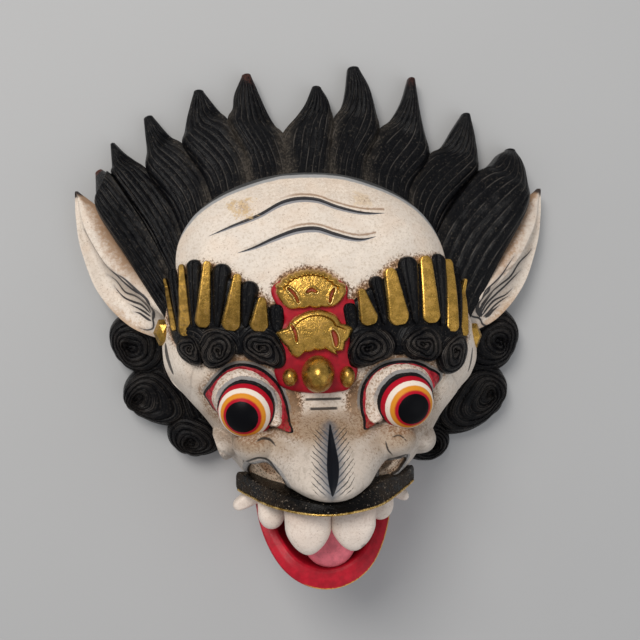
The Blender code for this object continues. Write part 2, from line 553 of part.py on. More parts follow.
def raised_forms(paints):
    """Every form that is carved proud of the head, as closed meshes to be joined to it."""
    white, black = paints["white_paint"], paints["black_paint"]
    gold, red = paints["gold_leaf"], paints["red_paint"]
    forms = [lock(number, black) for number in range(len(LOCK_SIDES))]
    forms += [ear("ear_left", -1, white), ear("ear_right", 1, white)]
    for i, place in enumerate(SIDE_CURLS):
        forms.append(curl(f"side_curl_{i + 1}", place, SIDE_CURL_HEIGHT, black, level=0.0))
    for i, (top, foot) in enumerate(SIDE_HAIR):
        width = 2 * SIDE_HAIR_HALF_WIDTH
        forms.append(plume(f"side_hair_{i + 1}", (*top, 0), (*foot, 0), width, width,
                           SIDE_HAIR_HEIGHT, black, sides=12))
    for i, (outline, centre) in enumerate(BROW_GROUND):
        profile = [(0, BROW_GROUND_RISE), (0.93, BROW_GROUND_RISE), (1.0, 0.3)]
        reach = reach_through(outline, centre, 20)
        forms.append(relief(f"brow_ground_{i + 1}", centre, reach, profile, black))
    for i, (top, foot, top_width, foot_width) in enumerate(GOLD_PLUMES):
        forms.append(plume(f"gold_plume_{i + 1}", on_skin(top, 1), on_skin(foot, 1),
                           top_width, foot_width, BROW_RISE, gold))
    for i, (top, foot, top_width, foot_width) in enumerate(BLACK_PLUMES):
        forms.append(plume(f"black_plume_{i + 1}", on_skin(top, 0.5), on_skin(foot, 0.5),
                           top_width, foot_width, BROW_RISE, black))
    for i, place in enumerate(BROW_CURLS):
        forms.append(curl(f"brow_curl_{i + 1}", place, BROW_CURL_RISE, black))
    outline, centre = GROUND
    profile = [(0, GROUND_RISE), (0.5, GROUND_RISE), (0.93, GROUND_RISE), (1.0, 0.5)]
    forms.append(relief("ground", centre, reach_through(outline, centre, 26), profile, red))
    for i, (outline, centre) in enumerate(FANS):
        profile = [(0, FAN_RISE), (0.5, FAN_RISE), (0.88, FAN_RISE * 0.85), (1.0, 1.5)]
        forms.append(relief(f"fan_{i + 1}", centre, reach_through(outline, centre, 24), profile, gold))
    for i, (centre, wide, high, rise) in enumerate(BOSSES):
        middle = on_skin(centre, GROUND_RISE)
        forms.append(ball(f"boss_{i + 1}", middle, (wide, high, rise), gold, 10, 7))
    for i, (centre, radii) in enumerate(EAR_STUDS):
        forms.append(ball(f"ear_stud_{i + 1}", centre, radii, gold, 8, 6))
    for side, place in zip((-1, 1), EYES):
        word = "left" if side < 0 else "right"
        forms.append(lid(f"lid_{word}", place, side, red))
        forms.append(eyeball(f"eye_{word}", place, white))
    forms.append(lip_band(black))
    for i, (top, foot, top_width, foot_width, depth) in enumerate(TEETH):
        forms.append(plume(f"tooth_{i + 1}", top, foot, top_width, foot_width, depth, white, sides=8))
    forms.append(jaw(red))
    top, foot, top_width, foot_width, depth = TONGUE
    forms.append(plume("tongue", top, foot, top_width, foot_width, depth, red, sides=8))
    return forms


def as_helper(form, home):
    """Keeps a form that only takes part in a Boolean out of the finished model."""
    home.objects.link(form)
    form.hide_render = True
    form.display_type = "WIRE"


def boolean(target, name, operation):
    change = target.modifiers.new(name, "BOOLEAN")
    change.operation = operation
    change.solver = "EXACT"
    change.material_mode = "TRANSFER"
    return change


def main():
    for old in list(bpy.data.objects):
        bpy.data.objects.remove(old)
    paints = {name: paint_named(name) for name in PAINTS}
    scene_collection = bpy.context.scene.collection
    carving = bpy.data.collections.new("carving")
    scene_collection.children.link(carving)

    mask = head(paints["white_paint"])
    scene_collection.objects.link(mask)
    for form in raised_forms(paints):
        as_helper(form, carving)
    joined = boolean(mask, "carved in one", "UNION")
    joined.operand_type = "COLLECTION"
    joined.collection = carving
    for cutter in (hollow(paints["raw_wood"]), planing(paints["raw_wood"])):
        as_helper(cutter, scene_collection)
        boolean(mask, cutter.name, "DIFFERENCE").object = cutter

    mask.data.shade_smooth()
    mask.data.set_sharp_from_angle(angle=math.radians(40))


main()
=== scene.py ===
"""A carved and painted demon mask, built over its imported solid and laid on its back.

The forms are set out in millimetres from a zero on the face's middle line, a little above
the eyes: +X to a viewer's right, +Y to the top of the head, +Z out of the face.
"""

import math

import bpy
import numpy as np
from mathutils import Matrix, Vector


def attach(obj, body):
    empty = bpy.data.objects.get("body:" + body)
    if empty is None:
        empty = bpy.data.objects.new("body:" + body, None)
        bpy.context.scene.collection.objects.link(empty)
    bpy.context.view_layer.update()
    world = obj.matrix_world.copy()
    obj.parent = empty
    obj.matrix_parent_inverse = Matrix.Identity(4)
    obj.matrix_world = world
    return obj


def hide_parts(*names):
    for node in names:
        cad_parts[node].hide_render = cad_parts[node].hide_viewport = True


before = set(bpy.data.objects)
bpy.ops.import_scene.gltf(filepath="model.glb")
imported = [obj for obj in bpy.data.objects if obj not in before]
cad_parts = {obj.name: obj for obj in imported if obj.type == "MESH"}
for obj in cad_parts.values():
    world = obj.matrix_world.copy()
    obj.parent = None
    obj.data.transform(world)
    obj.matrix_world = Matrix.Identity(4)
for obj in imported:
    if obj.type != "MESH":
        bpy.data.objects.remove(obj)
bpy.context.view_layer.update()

bl_info = {
    "name": "Demon Mask",
    "version": (1, 0, 0),
    "blender": (4, 5, 0),
    "location": "View3D > Sidebar > Mask",
    "description": "Builds a carved and painted demon mask over its packed solid",
    "category": "Object",
}

MM = 0.001
FACE_SHIFT = np.array([-1.05, 4.3, 0.0])  # where the face's own zero lies in the frame
TURN = 2 * math.pi
GOLDEN_ANGLE = 2.399963

# ---------------------------------------------------------------- curves and fields


def turns_round(count):
    """Evenly spaced angles round a full turn."""
    return np.linspace(0, TURN, count, endpoint=False)


def ways_of(turns):
    """The direction, one long, that each angle points in."""
    return np.column_stack([np.cos(turns), np.sin(turns)])


def unit(vectors):
    """Vectors made one long."""
    return vectors / np.linalg.norm(vectors, axis=-1, keepdims=True)


def knot_curve(knots, at):
    """A smooth curve through (place, value) knots: a cubic on each gap, its end slopes set by
    the neighbouring knots, and held level beyond the first and the last."""
    places, values = np.array(knots, float).T
    slopes = np.gradient(values, places)
    at = np.clip(at, places[0], places[-1])
    left = np.clip(np.searchsorted(places, at) - 1, 0, len(places) - 2)
    gap = places[left + 1] - places[left]
    t = (at - places[left]) / gap
    rise = 3 * t**2 - 2 * t**3
    return (
        (1 - rise) * values[left]
        + rise * values[left + 1]
        + (t**3 - 2 * t**2 + t) * gap * slopes[left]
        + (t**3 - t**2) * gap * slopes[left + 1]
    )


def along(points, at):
    """Points on a smooth curve through evenly spaced points, with at from 0 to 1."""
    points = np.array(points, float)
    steps = np.linspace(0, 1, len(points))
    parts = [knot_curve(np.column_stack([steps, column]), at) for column in points.T]
    return np.stack(parts, axis=-1)


def soft_max(a, b, blend=3.0):
    """The greater of two heights, with the crossing rounded over."""
    return (a + b + np.sqrt((a - b) ** 2 + blend**2)) / 2


def soft_min(a, b, blend):
    """The lesser of two heights, with the crossing rounded over."""
    return (a + b - np.sqrt((a - b) ** 2 + blend**2)) / 2


def ramp(value, low, high):
    """0 below low, 1 above high, and an even S between."""
    t = np.clip((value - low) / (high - low), 0, 1)
    return t * t * (3 - 2 * t)


def bell(value, width):
    """1 where value is 0, falling away like a bell of this width."""
    return np.exp(-((value / width) ** 2))


def wobble(x, y, size, seed):
    """An even unevenness of about one, a sum of six crossing waves of about this size, each
    headed a golden angle round from the last."""
    total = np.zeros(np.broadcast(x, y).shape)
    for k in range(6):
        heading = seed + GOLDEN_ANGLE * k
        length = size * (0.75 + 0.11 * k)
        ahead = x * math.cos(heading) + y * math.sin(heading)
        total += np.sin(ahead * TURN / length + seed * (k + 1))
    return total / 3


def line_distance(x, y, points):
    """Distance from each place to a line through these points."""
    best = np.full(np.shape(x), 1e9)
    for (ax, ay), (bx, by) in zip(points[:-1], points[1:]):
        length = (bx - ax) ** 2 + (by - ay) ** 2
        share = np.clip(((x - ax) * (bx - ax) + (y - ay) * (by - ay)) / length, 0, 1)
        best = np.minimum(best, (x - ax - share * (bx - ax)) ** 2 + (y - ay - share * (by - ay)) ** 2)
    return np.sqrt(best)


def stroke(x, y, points, width, leaning=0.0):
    """How far inside a tapering brush stroke each place is, in millimetres: half the width,
    full in the middle, or nearer its last end as leaning says, and none at the ends, less
    the distance to the stroke's line."""
    steps = np.linspace(0, 1, 24)
    line = along(points, steps)
    best = np.full(np.shape(x), -1e9)
    for first, last, start, end in zip(steps[:-1], steps[1:], line[:-1], line[1:]):
        span = end - start
        share = np.clip(((x - start[0]) * span[0] + (y - start[1]) * span[1]) / (span @ span), 0, 1)
        away = np.hypot(x - start[0] - share * span[0], y - start[1] - share * span[1])
        at = (first + share * (last - first)) ** (1 + 2 * leaning)
        best = np.maximum(best, width / 2 * np.sqrt(np.clip(4 * at * (1 - at), 0, 1)) - away)
    return best


# ---------------------------------------------------------------- meshes


def shell(grid, **marks):
    """One closed skin over a grid of points: each row closes on itself, neighbouring rows are
    joined, and the first and last rows are drawn in to their mean point. Each mark is a number
    kept on its points, given for all of it, each row or each place along a row."""
    rows, columns = grid.shape[:2]
    points = np.concatenate([grid.reshape(-1, 3), grid[[0, -1]].mean(axis=1)])
    index = np.arange(rows * columns).reshape(rows, columns)
    beside = np.roll(index, -1, axis=1)
    quads = np.stack([index[:-1], beside[:-1], beside[1:], index[1:]], axis=-1).reshape(-1, 4)
    pole = np.full(columns, rows * columns)
    fans = np.concatenate([np.stack([beside[0], index[0], pole], axis=-1),
                           np.stack([index[-1], beside[-1], pole + 1], axis=-1)])
    corners = points[np.concatenate([quads[:, :3], quads[:, [0, 2, 3]], fans])]
    if np.linalg.det(corners - points.mean(axis=0)).sum() < 0:
        quads, fans = quads[:, ::-1], fans[:, ::-1]
    fields = {}
    for name, mark in marks.items():
        mark = np.broadcast_to(mark, (rows, columns))
        fields[name] = np.concatenate([mark.reshape(-1), [mark[0].mean(), mark[-1].mean()]])
    return points, quads, fans, fields


def piece(name, shells, paint, crease=None):
    """Puts closed skins into one mesh object of the mask, riding with its body."""
    sizes = np.cumsum([0] + [len(s[0]) for s in shells[:-1]])
    points = np.concatenate([s[0] for s in shells])
    quads = np.concatenate([s[1] + start for s, start in zip(shells, sizes)])
    fans = np.concatenate([s[2] + start for s, start in zip(shells, sizes)])
    mesh = bpy.data.meshes.new(name)
    mesh.vertices.add(len(points))
    mesh.vertices.foreach_set("co", ((points + FACE_SHIFT) * MM).astype(np.float32).ravel())
    mesh.loops.add(quads.size + fans.size)
    corners = np.concatenate([quads.ravel(), fans.ravel()])
    mesh.loops.foreach_set("vertex_index", corners.astype(np.int32))
    mesh.polygons.add(len(quads) + len(fans))
    starts = np.concatenate([np.arange(len(quads)) * 4, quads.size + np.arange(len(fans)) * 3])
    mesh.polygons.foreach_set("loop_start", starts.astype(np.int32))
    mesh.update(calc_edges=True)
    for mark in shells[0][3]:
        values = np.concatenate([s[3][mark] for s in shells]).astype(np.float32)
        mesh.attributes.new(mark, "FLOAT", "POINT").data.foreach_set("value", values)
    mesh.materials.append(paint)
    mesh.shade_smooth()
    if crease:
        mesh.set_sharp_from_angle(angle=math.radians(crease))
    made = bpy.data.objects.new(name, mesh)
    bpy.context.scene.collection.objects.link(made)
    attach(made, "root")
    return made


# ---------------------------------------------------------------- paint


class Value:
    """A number that varies over a surface, kept as a node's socket, with plain arithmetic."""

    def __init__(self, coat, socket):
        self.coat, self.socket = coat, socket

    def __add__(self, other):
        return self.coat.maths("ADD", self, other)

    def __sub__(self, other):
        return self.coat.maths("SUBTRACT", self, other)

    def __rsub__(self, other):
        return self.coat.maths("SUBTRACT", other, self)

    def __mul__(self, other):
        return self.coat.maths("MULTIPLY", self, other)

    def __abs__(self):
        return self.coat.maths("ABSOLUTE", self)

    __radd__ = __add__


class Coat:
    """One paint or finish: a material's nodes, and the one way that they are added."""

    def __init__(self, name):
        self.material = bpy.data.materials.new(name)
        self.material.use_nodes = True
        self.tree = self.material.node_tree
        self.shader = self.tree.nodes["Principled BSDF"]
        place = self.node("ShaderNodeTexCoord").outputs["Object"]
        sockets = {0: place, 1: (1 / MM, 1 / MM, 1 / MM), 2: tuple(-FACE_SHIFT)}
        self.place = self.node("ShaderNodeVectorMath", {"operation": "MULTIPLY_ADD"}, sockets).outputs[0]
        apart = self.node("ShaderNodeSeparateXYZ", {}, {0: self.place})
        self.x, self.y, self.z = (Value(self, socket) for socket in apart.outputs)

    def feed(self, socket, value):
        """Sets a socket to a number or a colour, or links it to where a value comes from."""
        if isinstance(value, Value):
            value = value.socket
        if isinstance(value, bpy.types.NodeSocket):
            self.tree.links.new(value, socket)
        elif socket.type == "RGBA":
            socket.default_value = (*value, 1)
        else:
            socket.default_value = value

    def node(self, kind, settings=None, inputs=None):
        """Adds a node: its settings first, then the values or links of its sockets."""
        added = self.tree.nodes.new(kind)
        for key, value in (settings or {}).items():
            if key == "stops":
                for stop, (at, colour) in zip(self.stops_of(added.color_ramp, len(value)), value):
                    stop.position, stop.color = at, (*colour, 1)
            else:
                setattr(added, key, value)
        for key, value in (inputs or {}).items():
            self.feed(added.inputs[key], value)
        return added

    @staticmethod
    def stops_of(colour_ramp, count):
        """The stops of a colour ramp, made up to this count."""
        for _ in range(count - 2):
            colour_ramp.elements.new(0.5)
        return colour_ramp.elements

    def maths(self, operation, *values):
        """One sum on values or plain numbers."""
        made = self.node("ShaderNodeMath", {"operation": operation}, dict(enumerate(values)))
        return Value(self, made.outputs[0])

    def mark(self, name):
        """A number worked out with the mesh and kept on its points."""
        return Value(self, self.node("ShaderNodeAttribute", {"attribute_name": name}).outputs["Fac"])

    def noise(self, size, detail, rough, stretch=None, warp=0.0, place=None):
        """Cloudy noise from 0 to 1 with patches of about this size, in millimetres unless it
        is worked out at another place."""
        place = place or self.place
        if stretch:
            sockets = {0: place, 1: stretch}
            place = self.node("ShaderNodeVectorMath", {"operation": "MULTIPLY"}, sockets).outputs[0]
        sockets = {"Vector": place, "Scale": 1 / size, "Detail": detail, "Roughness": rough,
                   "Distortion": warp}
        return Value(self, self.node("ShaderNodeTexNoise", {}, sockets).outputs["Fac"])

    def away(self, place):
        """Distance from a place, in millimetres."""
        sockets = {0: self.place, 1: place}
        made = self.node("ShaderNodeVectorMath", {"operation": "DISTANCE"}, sockets)
        return Value(self, made.outputs["Value"])

    def wave(self, phase):
        """The sine of a phase."""
        return self.maths("SINE", phase)

    def ramp(self, value, low, high):
        """0 below low and 1 above high, or the other way round if low is the greater."""
        sockets = {"Value": value, "From Min": low, "From Max": high}
        if low > high:
            sockets = {"Value": value, "From Min": high, "From Max": low, "To Min": 1.0, "To Max": 0.0}
        made = self.node("ShaderNodeMapRange", {"interpolation_type": "SMOOTHSTEP"}, sockets)
        return Value(self, made.outputs["Result"])

    def mix(self, share, under, over):
        """The colour under, covered by the colour over as far as share says."""
        sockets = {0: share, 6: under, 7: over}
        return self.node("ShaderNodeMix", {"data_type": "RGBA"}, sockets).outputs[2]

    def layers(self, under, *layers):
        """The colour under, covered in turn by each layer's colour as far as its share says."""
        for share, over in layers:
            under = self.mix(share, under, over)
        return under

    def bump(self, height, strength, depth):
        """Makes a relief of this height, one unit of it being depth millimetres."""
        sockets = {"Height": height, "Strength": strength, "Distance": depth * MM}
        self.feed(self.shader.inputs["Normal"], self.node("ShaderNodeBump", {}, sockets).outputs[0])

    def finish(self, colour, roughness, **fixed):
        """Gives the finish its colour and roughness and the shader's fixed values."""
        self.feed(self.shader.inputs["Base Color"], colour)
        self.feed(self.shader.inputs["Roughness"], roughness)
        for name, value in fixed.items():
            self.feed(self.shader.inputs[name.replace("_", " ")], value)
        return self.material


# ---------------------------------------------------------------- settings


def length(name, description, default):
    """A size in millimetres for the panel."""
    return bpy.props.FloatProperty(name=name, description=description, default=default, min=0.0, max=20.0)


def colour(name, description, default):
    """A paint's colour for the panel."""
    return bpy.props.FloatVectorProperty(name=name, description=description, subtype="COLOR", size=3,
                                         min=0.0, max=1.0, default=default)


class MaskSizes(bpy.types.PropertyGroup):
    """Sizes of the finer carving, in millimetres."""

    groove: length("Hair groove", "Depth of the grooves between the strands of hair", 0.9)
    curl_groove: length("Curl groove", "Depth of the spiral grooves in the curls", 1.1)
    wrinkle: length("Wrinkle", "Depth of the forehead's wrinkles", 0.9)
    slit: length("Nose slit", "Depth of the slit down the nose", 1.6)
    bead: length("Lip bead", "Radius of the gilded bead under the lip", 0.6)


class MaskColours(bpy.types.PropertyGroup):
    """The colours of the paints."""

    white: colour("White", "Aged white of the face, ears and teeth", (0.78, 0.68, 0.58))
    black: colour("Black", "Black of the hair and brows", (0.0024, 0.0025, 0.0034))
    dust: colour("Dust", "Brown dust in the hair", (0.030, 0.025, 0.020))
    gold: colour("Gold", "Gold leaf", (0.74, 0.43, 0.085))
    red: colour("Red", "Red of the mouth and eyelids", (0.47, 0.007, 0.022))
    orange: colour("Orange", "Orange ring of the eyes", (0.66, 0.25, 0.02))
    pink: colour("Pink", "Tongue", (0.58, 0.13, 0.16))
    grime: colour("Grime", "Brown dirt where forms meet", (0.30, 0.16, 0.08))
    wood: colour("Wood", "Bare wood of the back and the hollow", (0.38, 0.24, 0.13))
    floor: colour("Floor", "The pale floor", (0.465, 0.465, 0.465))


# ---------------------------------------------------------------- the face

HEAD_TOP = 77.0
BROW_LINE = 20.0
FOREHEAD_HALF_WIDTH = 78.5
FOREHEAD_ROUNDING = 2.15
HEAD_POLE = np.array([0.0, -52.0])
# Curves up the face, by height: half widths of the head and of its fall, and ridge heights.
SIDE_HALF_WIDTH = [
    (-104, 42), (-98, 47), (-92, 52), (-86, 58), (-80, 61.5), (-73, 64.5), (-66, 70), (-60, 75), (-53, 81),
    (-45, 88.5), (-37, 92), (-24, 93), (-8, 90), (20, 78.5)]
FALL_HALF_WIDTH = [
    (-104, 43), (-92, 53), (-80, 62), (-66, 70.5), (-53, 81.5), (-37, 92.5), (-24, 93.5), (0, 89), (20, 84),
    (37, 81), (47, 76.5), (58, 68), (67, 56), (77, 34)]
RIDGE_HEIGHT = [
    (-104, 84), (-80, 86), (-60, 82), (-50, 80), (-30, 82), (0, 81), (20, 78), (42, 71), (60, 59), (70, 49),
    (77, 42)]
LEAN = [(-104, 2), (-90, 3), (-30, 2.5), (0, 0), (30, -3.5), (77, -4)]
WALL_INSET = 4.0
SNOUT_HEIGHT = [
    (-108, 60), (-104, 84), (-100, 98), (-97.5, 111), (-95, 120), (-91, 125), (-86, 123), (-80, 116),
    (-72, 105), (-66, 98), (-60, 90), (-54, 76), (-44, 30)]
SNOUT_HALF_WIDTH = [(-104, 10), (-96, 17), (-90, 23), (-84, 27), (-78, 33), (-70, 40), (-62, 38), (-54, 30)]
NOSTRIL = (32.5, -88, 12, 5.5, 32)  # centre, long and short half widths, and slope in degrees
NOSTRIL_RIMS = [
    [(-45.4, -87.8), (-44.8, -84), (-42.6, -80.4), (-39.4, -78), (-35.8, -77.2), (-31, -79.6),
     (-25.6, -86.6), (-21.9, -95.5)],
    [(26.9, -92.8), (29, -88), (34.9, -82.6), (40.9, -79.6), (45.6, -80.7)]]
NOSTRIL_PITS = [
    ([(-42.6, -91), (-42, -88.2), (-40.4, -85.4), (-37.8, -83), (-34.8, -81.6), (-31.6, -82), (-28.8, -84),
     (-26, -87.4), (-23.6, -91.3), (-22, -96), (-26.4, -100), (-32.8, -100), (-38.5, -97), (-41.8, -94)],
     (-32.5, -91)),
    ([(29, -95.6), (29.9, -91.4), (32.4, -88.2), (36.4, -85.8), (40.8, -84.3), (44.2, -84), (45.6, -85.6),
     (43.3, -89), (37.7, -92.9), (32.9, -97.3)], (36, -89.4))]
CHEEK_KNOBS = [((37, -73, 14, 11), 75, 97), ((57, -78, 10, 9), 54, 72)]  # oval, foot and top
BRIDGE_LINES = [(-49.7, 10.6), (-54.7, 8.2)]  # height on the face and half the painted length
HOLLOW_CENTRE = np.array([1.0, -20.0])
HOLLOW_HALF = np.array([72.0, 80.0])
HOLLOW_DEPTH = 66.0

UPPER_WRINKLE = [
    (-62, 40), (-49, 45.5), (-34, 51.4), (-20, 59), (-12, 60.9), (-0.5, 60.2), (9, 56.4), (24, 52.5),
    (37.5, 52)]
LOWER_WRINKLE = [
    (-46, 30.5), (-37.5, 33.3), (-25, 38.8), (-11, 43.3), (-2, 43.6), (8, 40.3), (22.6, 37.3), (31, 38.8)]
SLIT_MIDDLE = [(-90.5, -1), (-76.7, 0.7), (-62, 1.4)]
SLIT_ENDS = (-91, -61)
SLIT_LENS = [
    (-95, -4), (-91, 0), (-87.5, 1.5), (-83, 2.7), (-78, 3.1), (-73, 2.5), (-68, 1.6), (-63.5, 0.7),
    (-61, 0), (-58, -6), (-40, -30)]  # half its width at each height


def half_width(y):
    """Half the width of the head's front at this height: a rounded arch over the brow line
    and a smooth curve through the cheeks below it."""
    up = np.clip((y - BROW_LINE) / (HEAD_TOP - BROW_LINE), 0, 1)
    forehead = FOREHEAD_HALF_WIDTH * (1 - up**FOREHEAD_ROUNDING) ** (1 / FOREHEAD_ROUNDING)
    return np.where(y > BROW_LINE, forehead, knot_curve(SIDE_HALF_WIDTH, y))


def cap(x, y, place, foot, top):
    """A rounded knob over an oval, half an egg: foot level at its rim and top at its middle."""
    across, up, wide, high = place
    inside = 1 - ((x - across) / wide) ** 2 - ((y - up) / high) ** 2
    return np.where(inside > 0, foot + (top - foot) * np.sqrt(np.clip(inside, 0, 1)), 0)


def skin_height(x, y):
    """Height of the face over the back: a dome whose fall to the sides is a flattened oval,
    with the snout, the nostril wings and the cheek knobs blended over it and the nostrils
    sunk into it."""
    middle = x - knot_curve(LEAN, y)
    across = np.clip(np.abs(middle) / knot_curve(FALL_HALF_WIDTH, y), 0, 1)
    height = knot_curve(RIDGE_HEIGHT, y) * np.sqrt(1 - 0.75 * across**3.6)
    snout_across = np.abs(x) / knot_curve(SNOUT_HALF_WIDTH, y)
    height = soft_max(height, knot_curve(SNOUT_HEIGHT, y) - 24 * snout_across**2.4)
    across, up, wide, high, slope = NOSTRIL
    cosine, sine = math.cos(math.radians(slope)), math.sin(math.radians(slope))
    for side in (-1, 1):
        for place, foot, top in CHEEK_KNOBS:
            height = soft_max(height, cap(side * x, y, place, foot, top))
        right, above = side * x - across, y - up
        pit = ((right * cosine + above * sine) / wide) ** 2 + ((above * cosine - right * sine) / high) ** 2
        height = soft_min(height, 74 + 24 * pit, 1.5)
    return height


def beyond(x, y, outline, centre):
    """How far each place lies outside a closed outline, along the line from its centre."""
    turns = turns_round(360)
    reach = reach_through(outline, centre, turns, 3)
    across, up = x - centre[0], y - centre[1]
    return np.hypot(across, up) - np.interp(np.arctan2(up, across) % TURN, turns, reach, period=TURN)


def carved_skin(x, y, sizes):
    """The face with its fine carving: wrinkles and slit as narrow bell-shaped grooves, the
    nostrils as pits with a raised rim, and a slight unevenness from the knife."""
    height = skin_height(x, y)
    for outline, centre in NOSTRIL_PITS:
        outside = beyond(x, y, outline, centre)
        height = height - 4.5 * ramp(-outside, -0.3, 1.6) + 1.8 * bell(outside - 1.6, 1.2)
    for points in (UPPER_WRINKLE, LOWER_WRINKLE):
        over = y - knot_curve(points, x)
        left, right = points[0][0], points[-1][0]
        inside = ramp(x, left, left + 8) * (1 - ramp(x, right - 6, right))
        height = height - sizes.wrinkle * inside * (bell(over + 0.4, 1.4) - 0.4 * bell(over - 1.6, 1.2))
        height = height - 0.35 * inside * bell(over - 2.6, 0.6) * ramp(x, -26, -8)
    along_slit = np.clip((y - SLIT_ENDS[0]) / (SLIT_ENDS[1] - SLIT_ENDS[0]), 0, 1)
    depth = sizes.slit * 4 * along_slit * (1 - along_slit)
    height = height - depth * bell(x - knot_curve(SLIT_MIDDLE, y), 1.6)
    for line, _ in BRIDGE_LINES:
        height = height - 0.5 * bell(y - line, 0.8) * (1 - ramp(np.abs(x + 1), 8, 11))
    return height + 0.12 * wobble(x, y, 14.0, 0.7) + 0.05 * wobble(x, y, 4.0, 2.1)


def head_outline(count):
    """Angles round the head's pole, and how far off the outline lies at each."""
    y = np.concatenate([np.linspace(-104, 70, 200), HEAD_TOP - np.geomspace(7, 0.02, 60)])
    middle, wide = knot_curve(LEAN, y), half_width(y)
    x = np.concatenate([middle - wide, (middle + wide)[::-1]]) - HEAD_POLE[0]
    y = np.concatenate([y, y[::-1]]) - HEAD_POLE[1]
    turns = np.arctan2(y, x)
    order = np.argsort(turns)
    angles = np.linspace(-math.pi, math.pi, count, endpoint=False)
    return angles, np.interp(angles, turns[order], np.hypot(x, y)[order], period=TURN)


# ---------------------------------------------------------------- brows, eyes and mouth: places

# Each plume's top and foot, and its widths there.
GOLD_PLUMES = [
    ((-88.5, 17), (-82, -12), 2.2, 4.4), ((-77.4, 25), (-75, -14.8), 4, 9.8),
    ((-62.3, 26.5), (-65.5, -9.8), 5, 10.8), ((-46, 19.5), (-50.5, -11.4), 4.8, 13.2),
    ((-33, 7), (-35.5, -12), 4.8, 14), ((19.9, 10.5), (25, -9.5), 4.4, 13.6),
    ((36.3, 21.5), (41.3, -10), 7.2, 14.2), ((58.3, 28), (59.7, -9.6), 7.8, 12.2),
    ((76.2, 26), (73, -15), 6, 8.8), ((88.6, 14), (81.2, -18), 2.2, 6.4)]
BLACK_PLUMES = [
    ((-83, 22.5), (-78.5, -12), 7.4, 3.4), ((-69.6, 27.5), (-70, -11), 10.4, 3.6),
    ((-53.9, 25), (-57.5, -9), 12.2, 4), ((-39.2, 15.5), (-42.5, -9), 11.8, 4.2),
    ((-25.5, 3), (-25.5, -12), 10.4, 7.5), ((13.2, 3), (15, -12), 9.8, 7.5),
    ((28.3, 17), (33, -9), 9.4, 3.8), ((47, 27.5), (50.5, -9), 13.6, 4.2), ((67.4, 29), (67, -11), 11.4, 4),
    ((83, 21.5), (78, -14), 7.6, 3.4)]
# Curls under the brows: outline, the eye of the spiral, and which way it turns.
BROW_CURLS = [
    ([(-81.1, -18.8), (-77.8, -14.3), (-71.5, -13.5), (-67.6, -18.2), (-66.9, -25.5), (-65.7, -30.1),
     (-69.2, -31), (-75.5, -29), (-79.9, -25.2)], (-73.5, -21), 1),
    ([(-67.9, -17.2), (-66.4, -11.9), (-61.1, -9.3), (-54.1, -10.4), (-48.9, -14), (-46.7, -19.4),
     (-49, -25.2), (-52.7, -28.9), (-58, -31.9), (-63.4, -31.8), (-67.4, -27.1)], (-56.7, -22), 1),
    ([(-46.4, -17.7), (-43.5, -12.4), (-38.2, -10.3), (-30.2, -11.8), (-24.5, -15.5), (-21.4, -20.9),
     (-20.1, -25.9), (-21.5, -31), (-26.1, -32.4), (-31.4, -29.6), (-38.5, -27.8), (-44.2, -23.6)],
     (-34.5, -20.2), -1),
    ([(11.7, -26.3), (12.9, -19.9), (17.4, -13.7), (23.8, -10.9), (31, -11.3), (37.4, -14.1), (40.7, -19.6),
     (37.9, -25.6), (29.9, -29), (22.7, -31.8), (17.6, -33), (13.2, -32)], (22.6, -21.6), 1),
    ([(40.4, -19.7), (43.8, -14.3), (50.3, -11.7), (59.5, -11), (65.5, -15.6), (67.4, -22.1), (65, -28),
     (59.9, -30.8), (52.9, -29.2), (44.9, -27)], (54.5, -20.8), -1),
    ([(65.2, -22.9), (72.6, -16.4), (80.3, -15.7), (84, -21.4), (83.2, -30.8), (79.4, -36.4), (70.8, -39.2),
     (65, -37), (63, -30.3)], (74.5, -26), -1)]
# Each eyeball's middle, its radius, and how far its gaze turns right and down, in degrees.
EYES = [(-42.2, -52.8, 82, 16, -13, 12), (43.6, -50.8, 82, 16, 11, 14)]
# The lids, each set for the left eye and the right: where they meet the ball, the inner edge
# of their red band and their outline.
LID_INNER = [
    [(-58.6, -55), (-58, -52), (-57.5, -45.9), (-54.8, -41.8), (-49.5, -38.6), (-42, -37.8), (-34.5, -40.5),
     (-30.1, -44.4), (-28.3, -51.7), (-30, -59), (-36, -65), (-42, -67), (-52, -64)],
    [(31, -59), (28.5, -51.5), (29.8, -45.4), (33.4, -40.4), (38, -37.1), (44.2, -36.1), (51.2, -37.1),
     (56.7, -41.9), (58.1, -46.9), (58.4, -52), (53, -61), (43, -65), (35, -63)]]
LID_RED = [
    [(-59.2, -55), (-61.6, -48.6), (-60.2, -43), (-57, -37.8), (-52.4, -33.9), (-46.4, -31.7),
     (-40.4, -32.6), (-35.1, -35.3), (-29.9, -40.1), (-26.2, -44.4), (-24.1, -49.1), (-23.7, -53.7),
     (-24.1, -57.6), (-24.2, -60), (-26.4, -61.6), (-42, -65), (-56, -61)],
    [(27, -62.3), (23.2, -60.3), (22, -57), (22.3, -50.5), (22.6, -45), (24.7, -39.6), (28.6, -35.1),
     (34.9, -32), (42.7, -31.2), (50.6, -32.7), (55.3, -35), (57.6, -38.2), (59.3, -43.7), (59.5, -52),
     (43, -70)]]
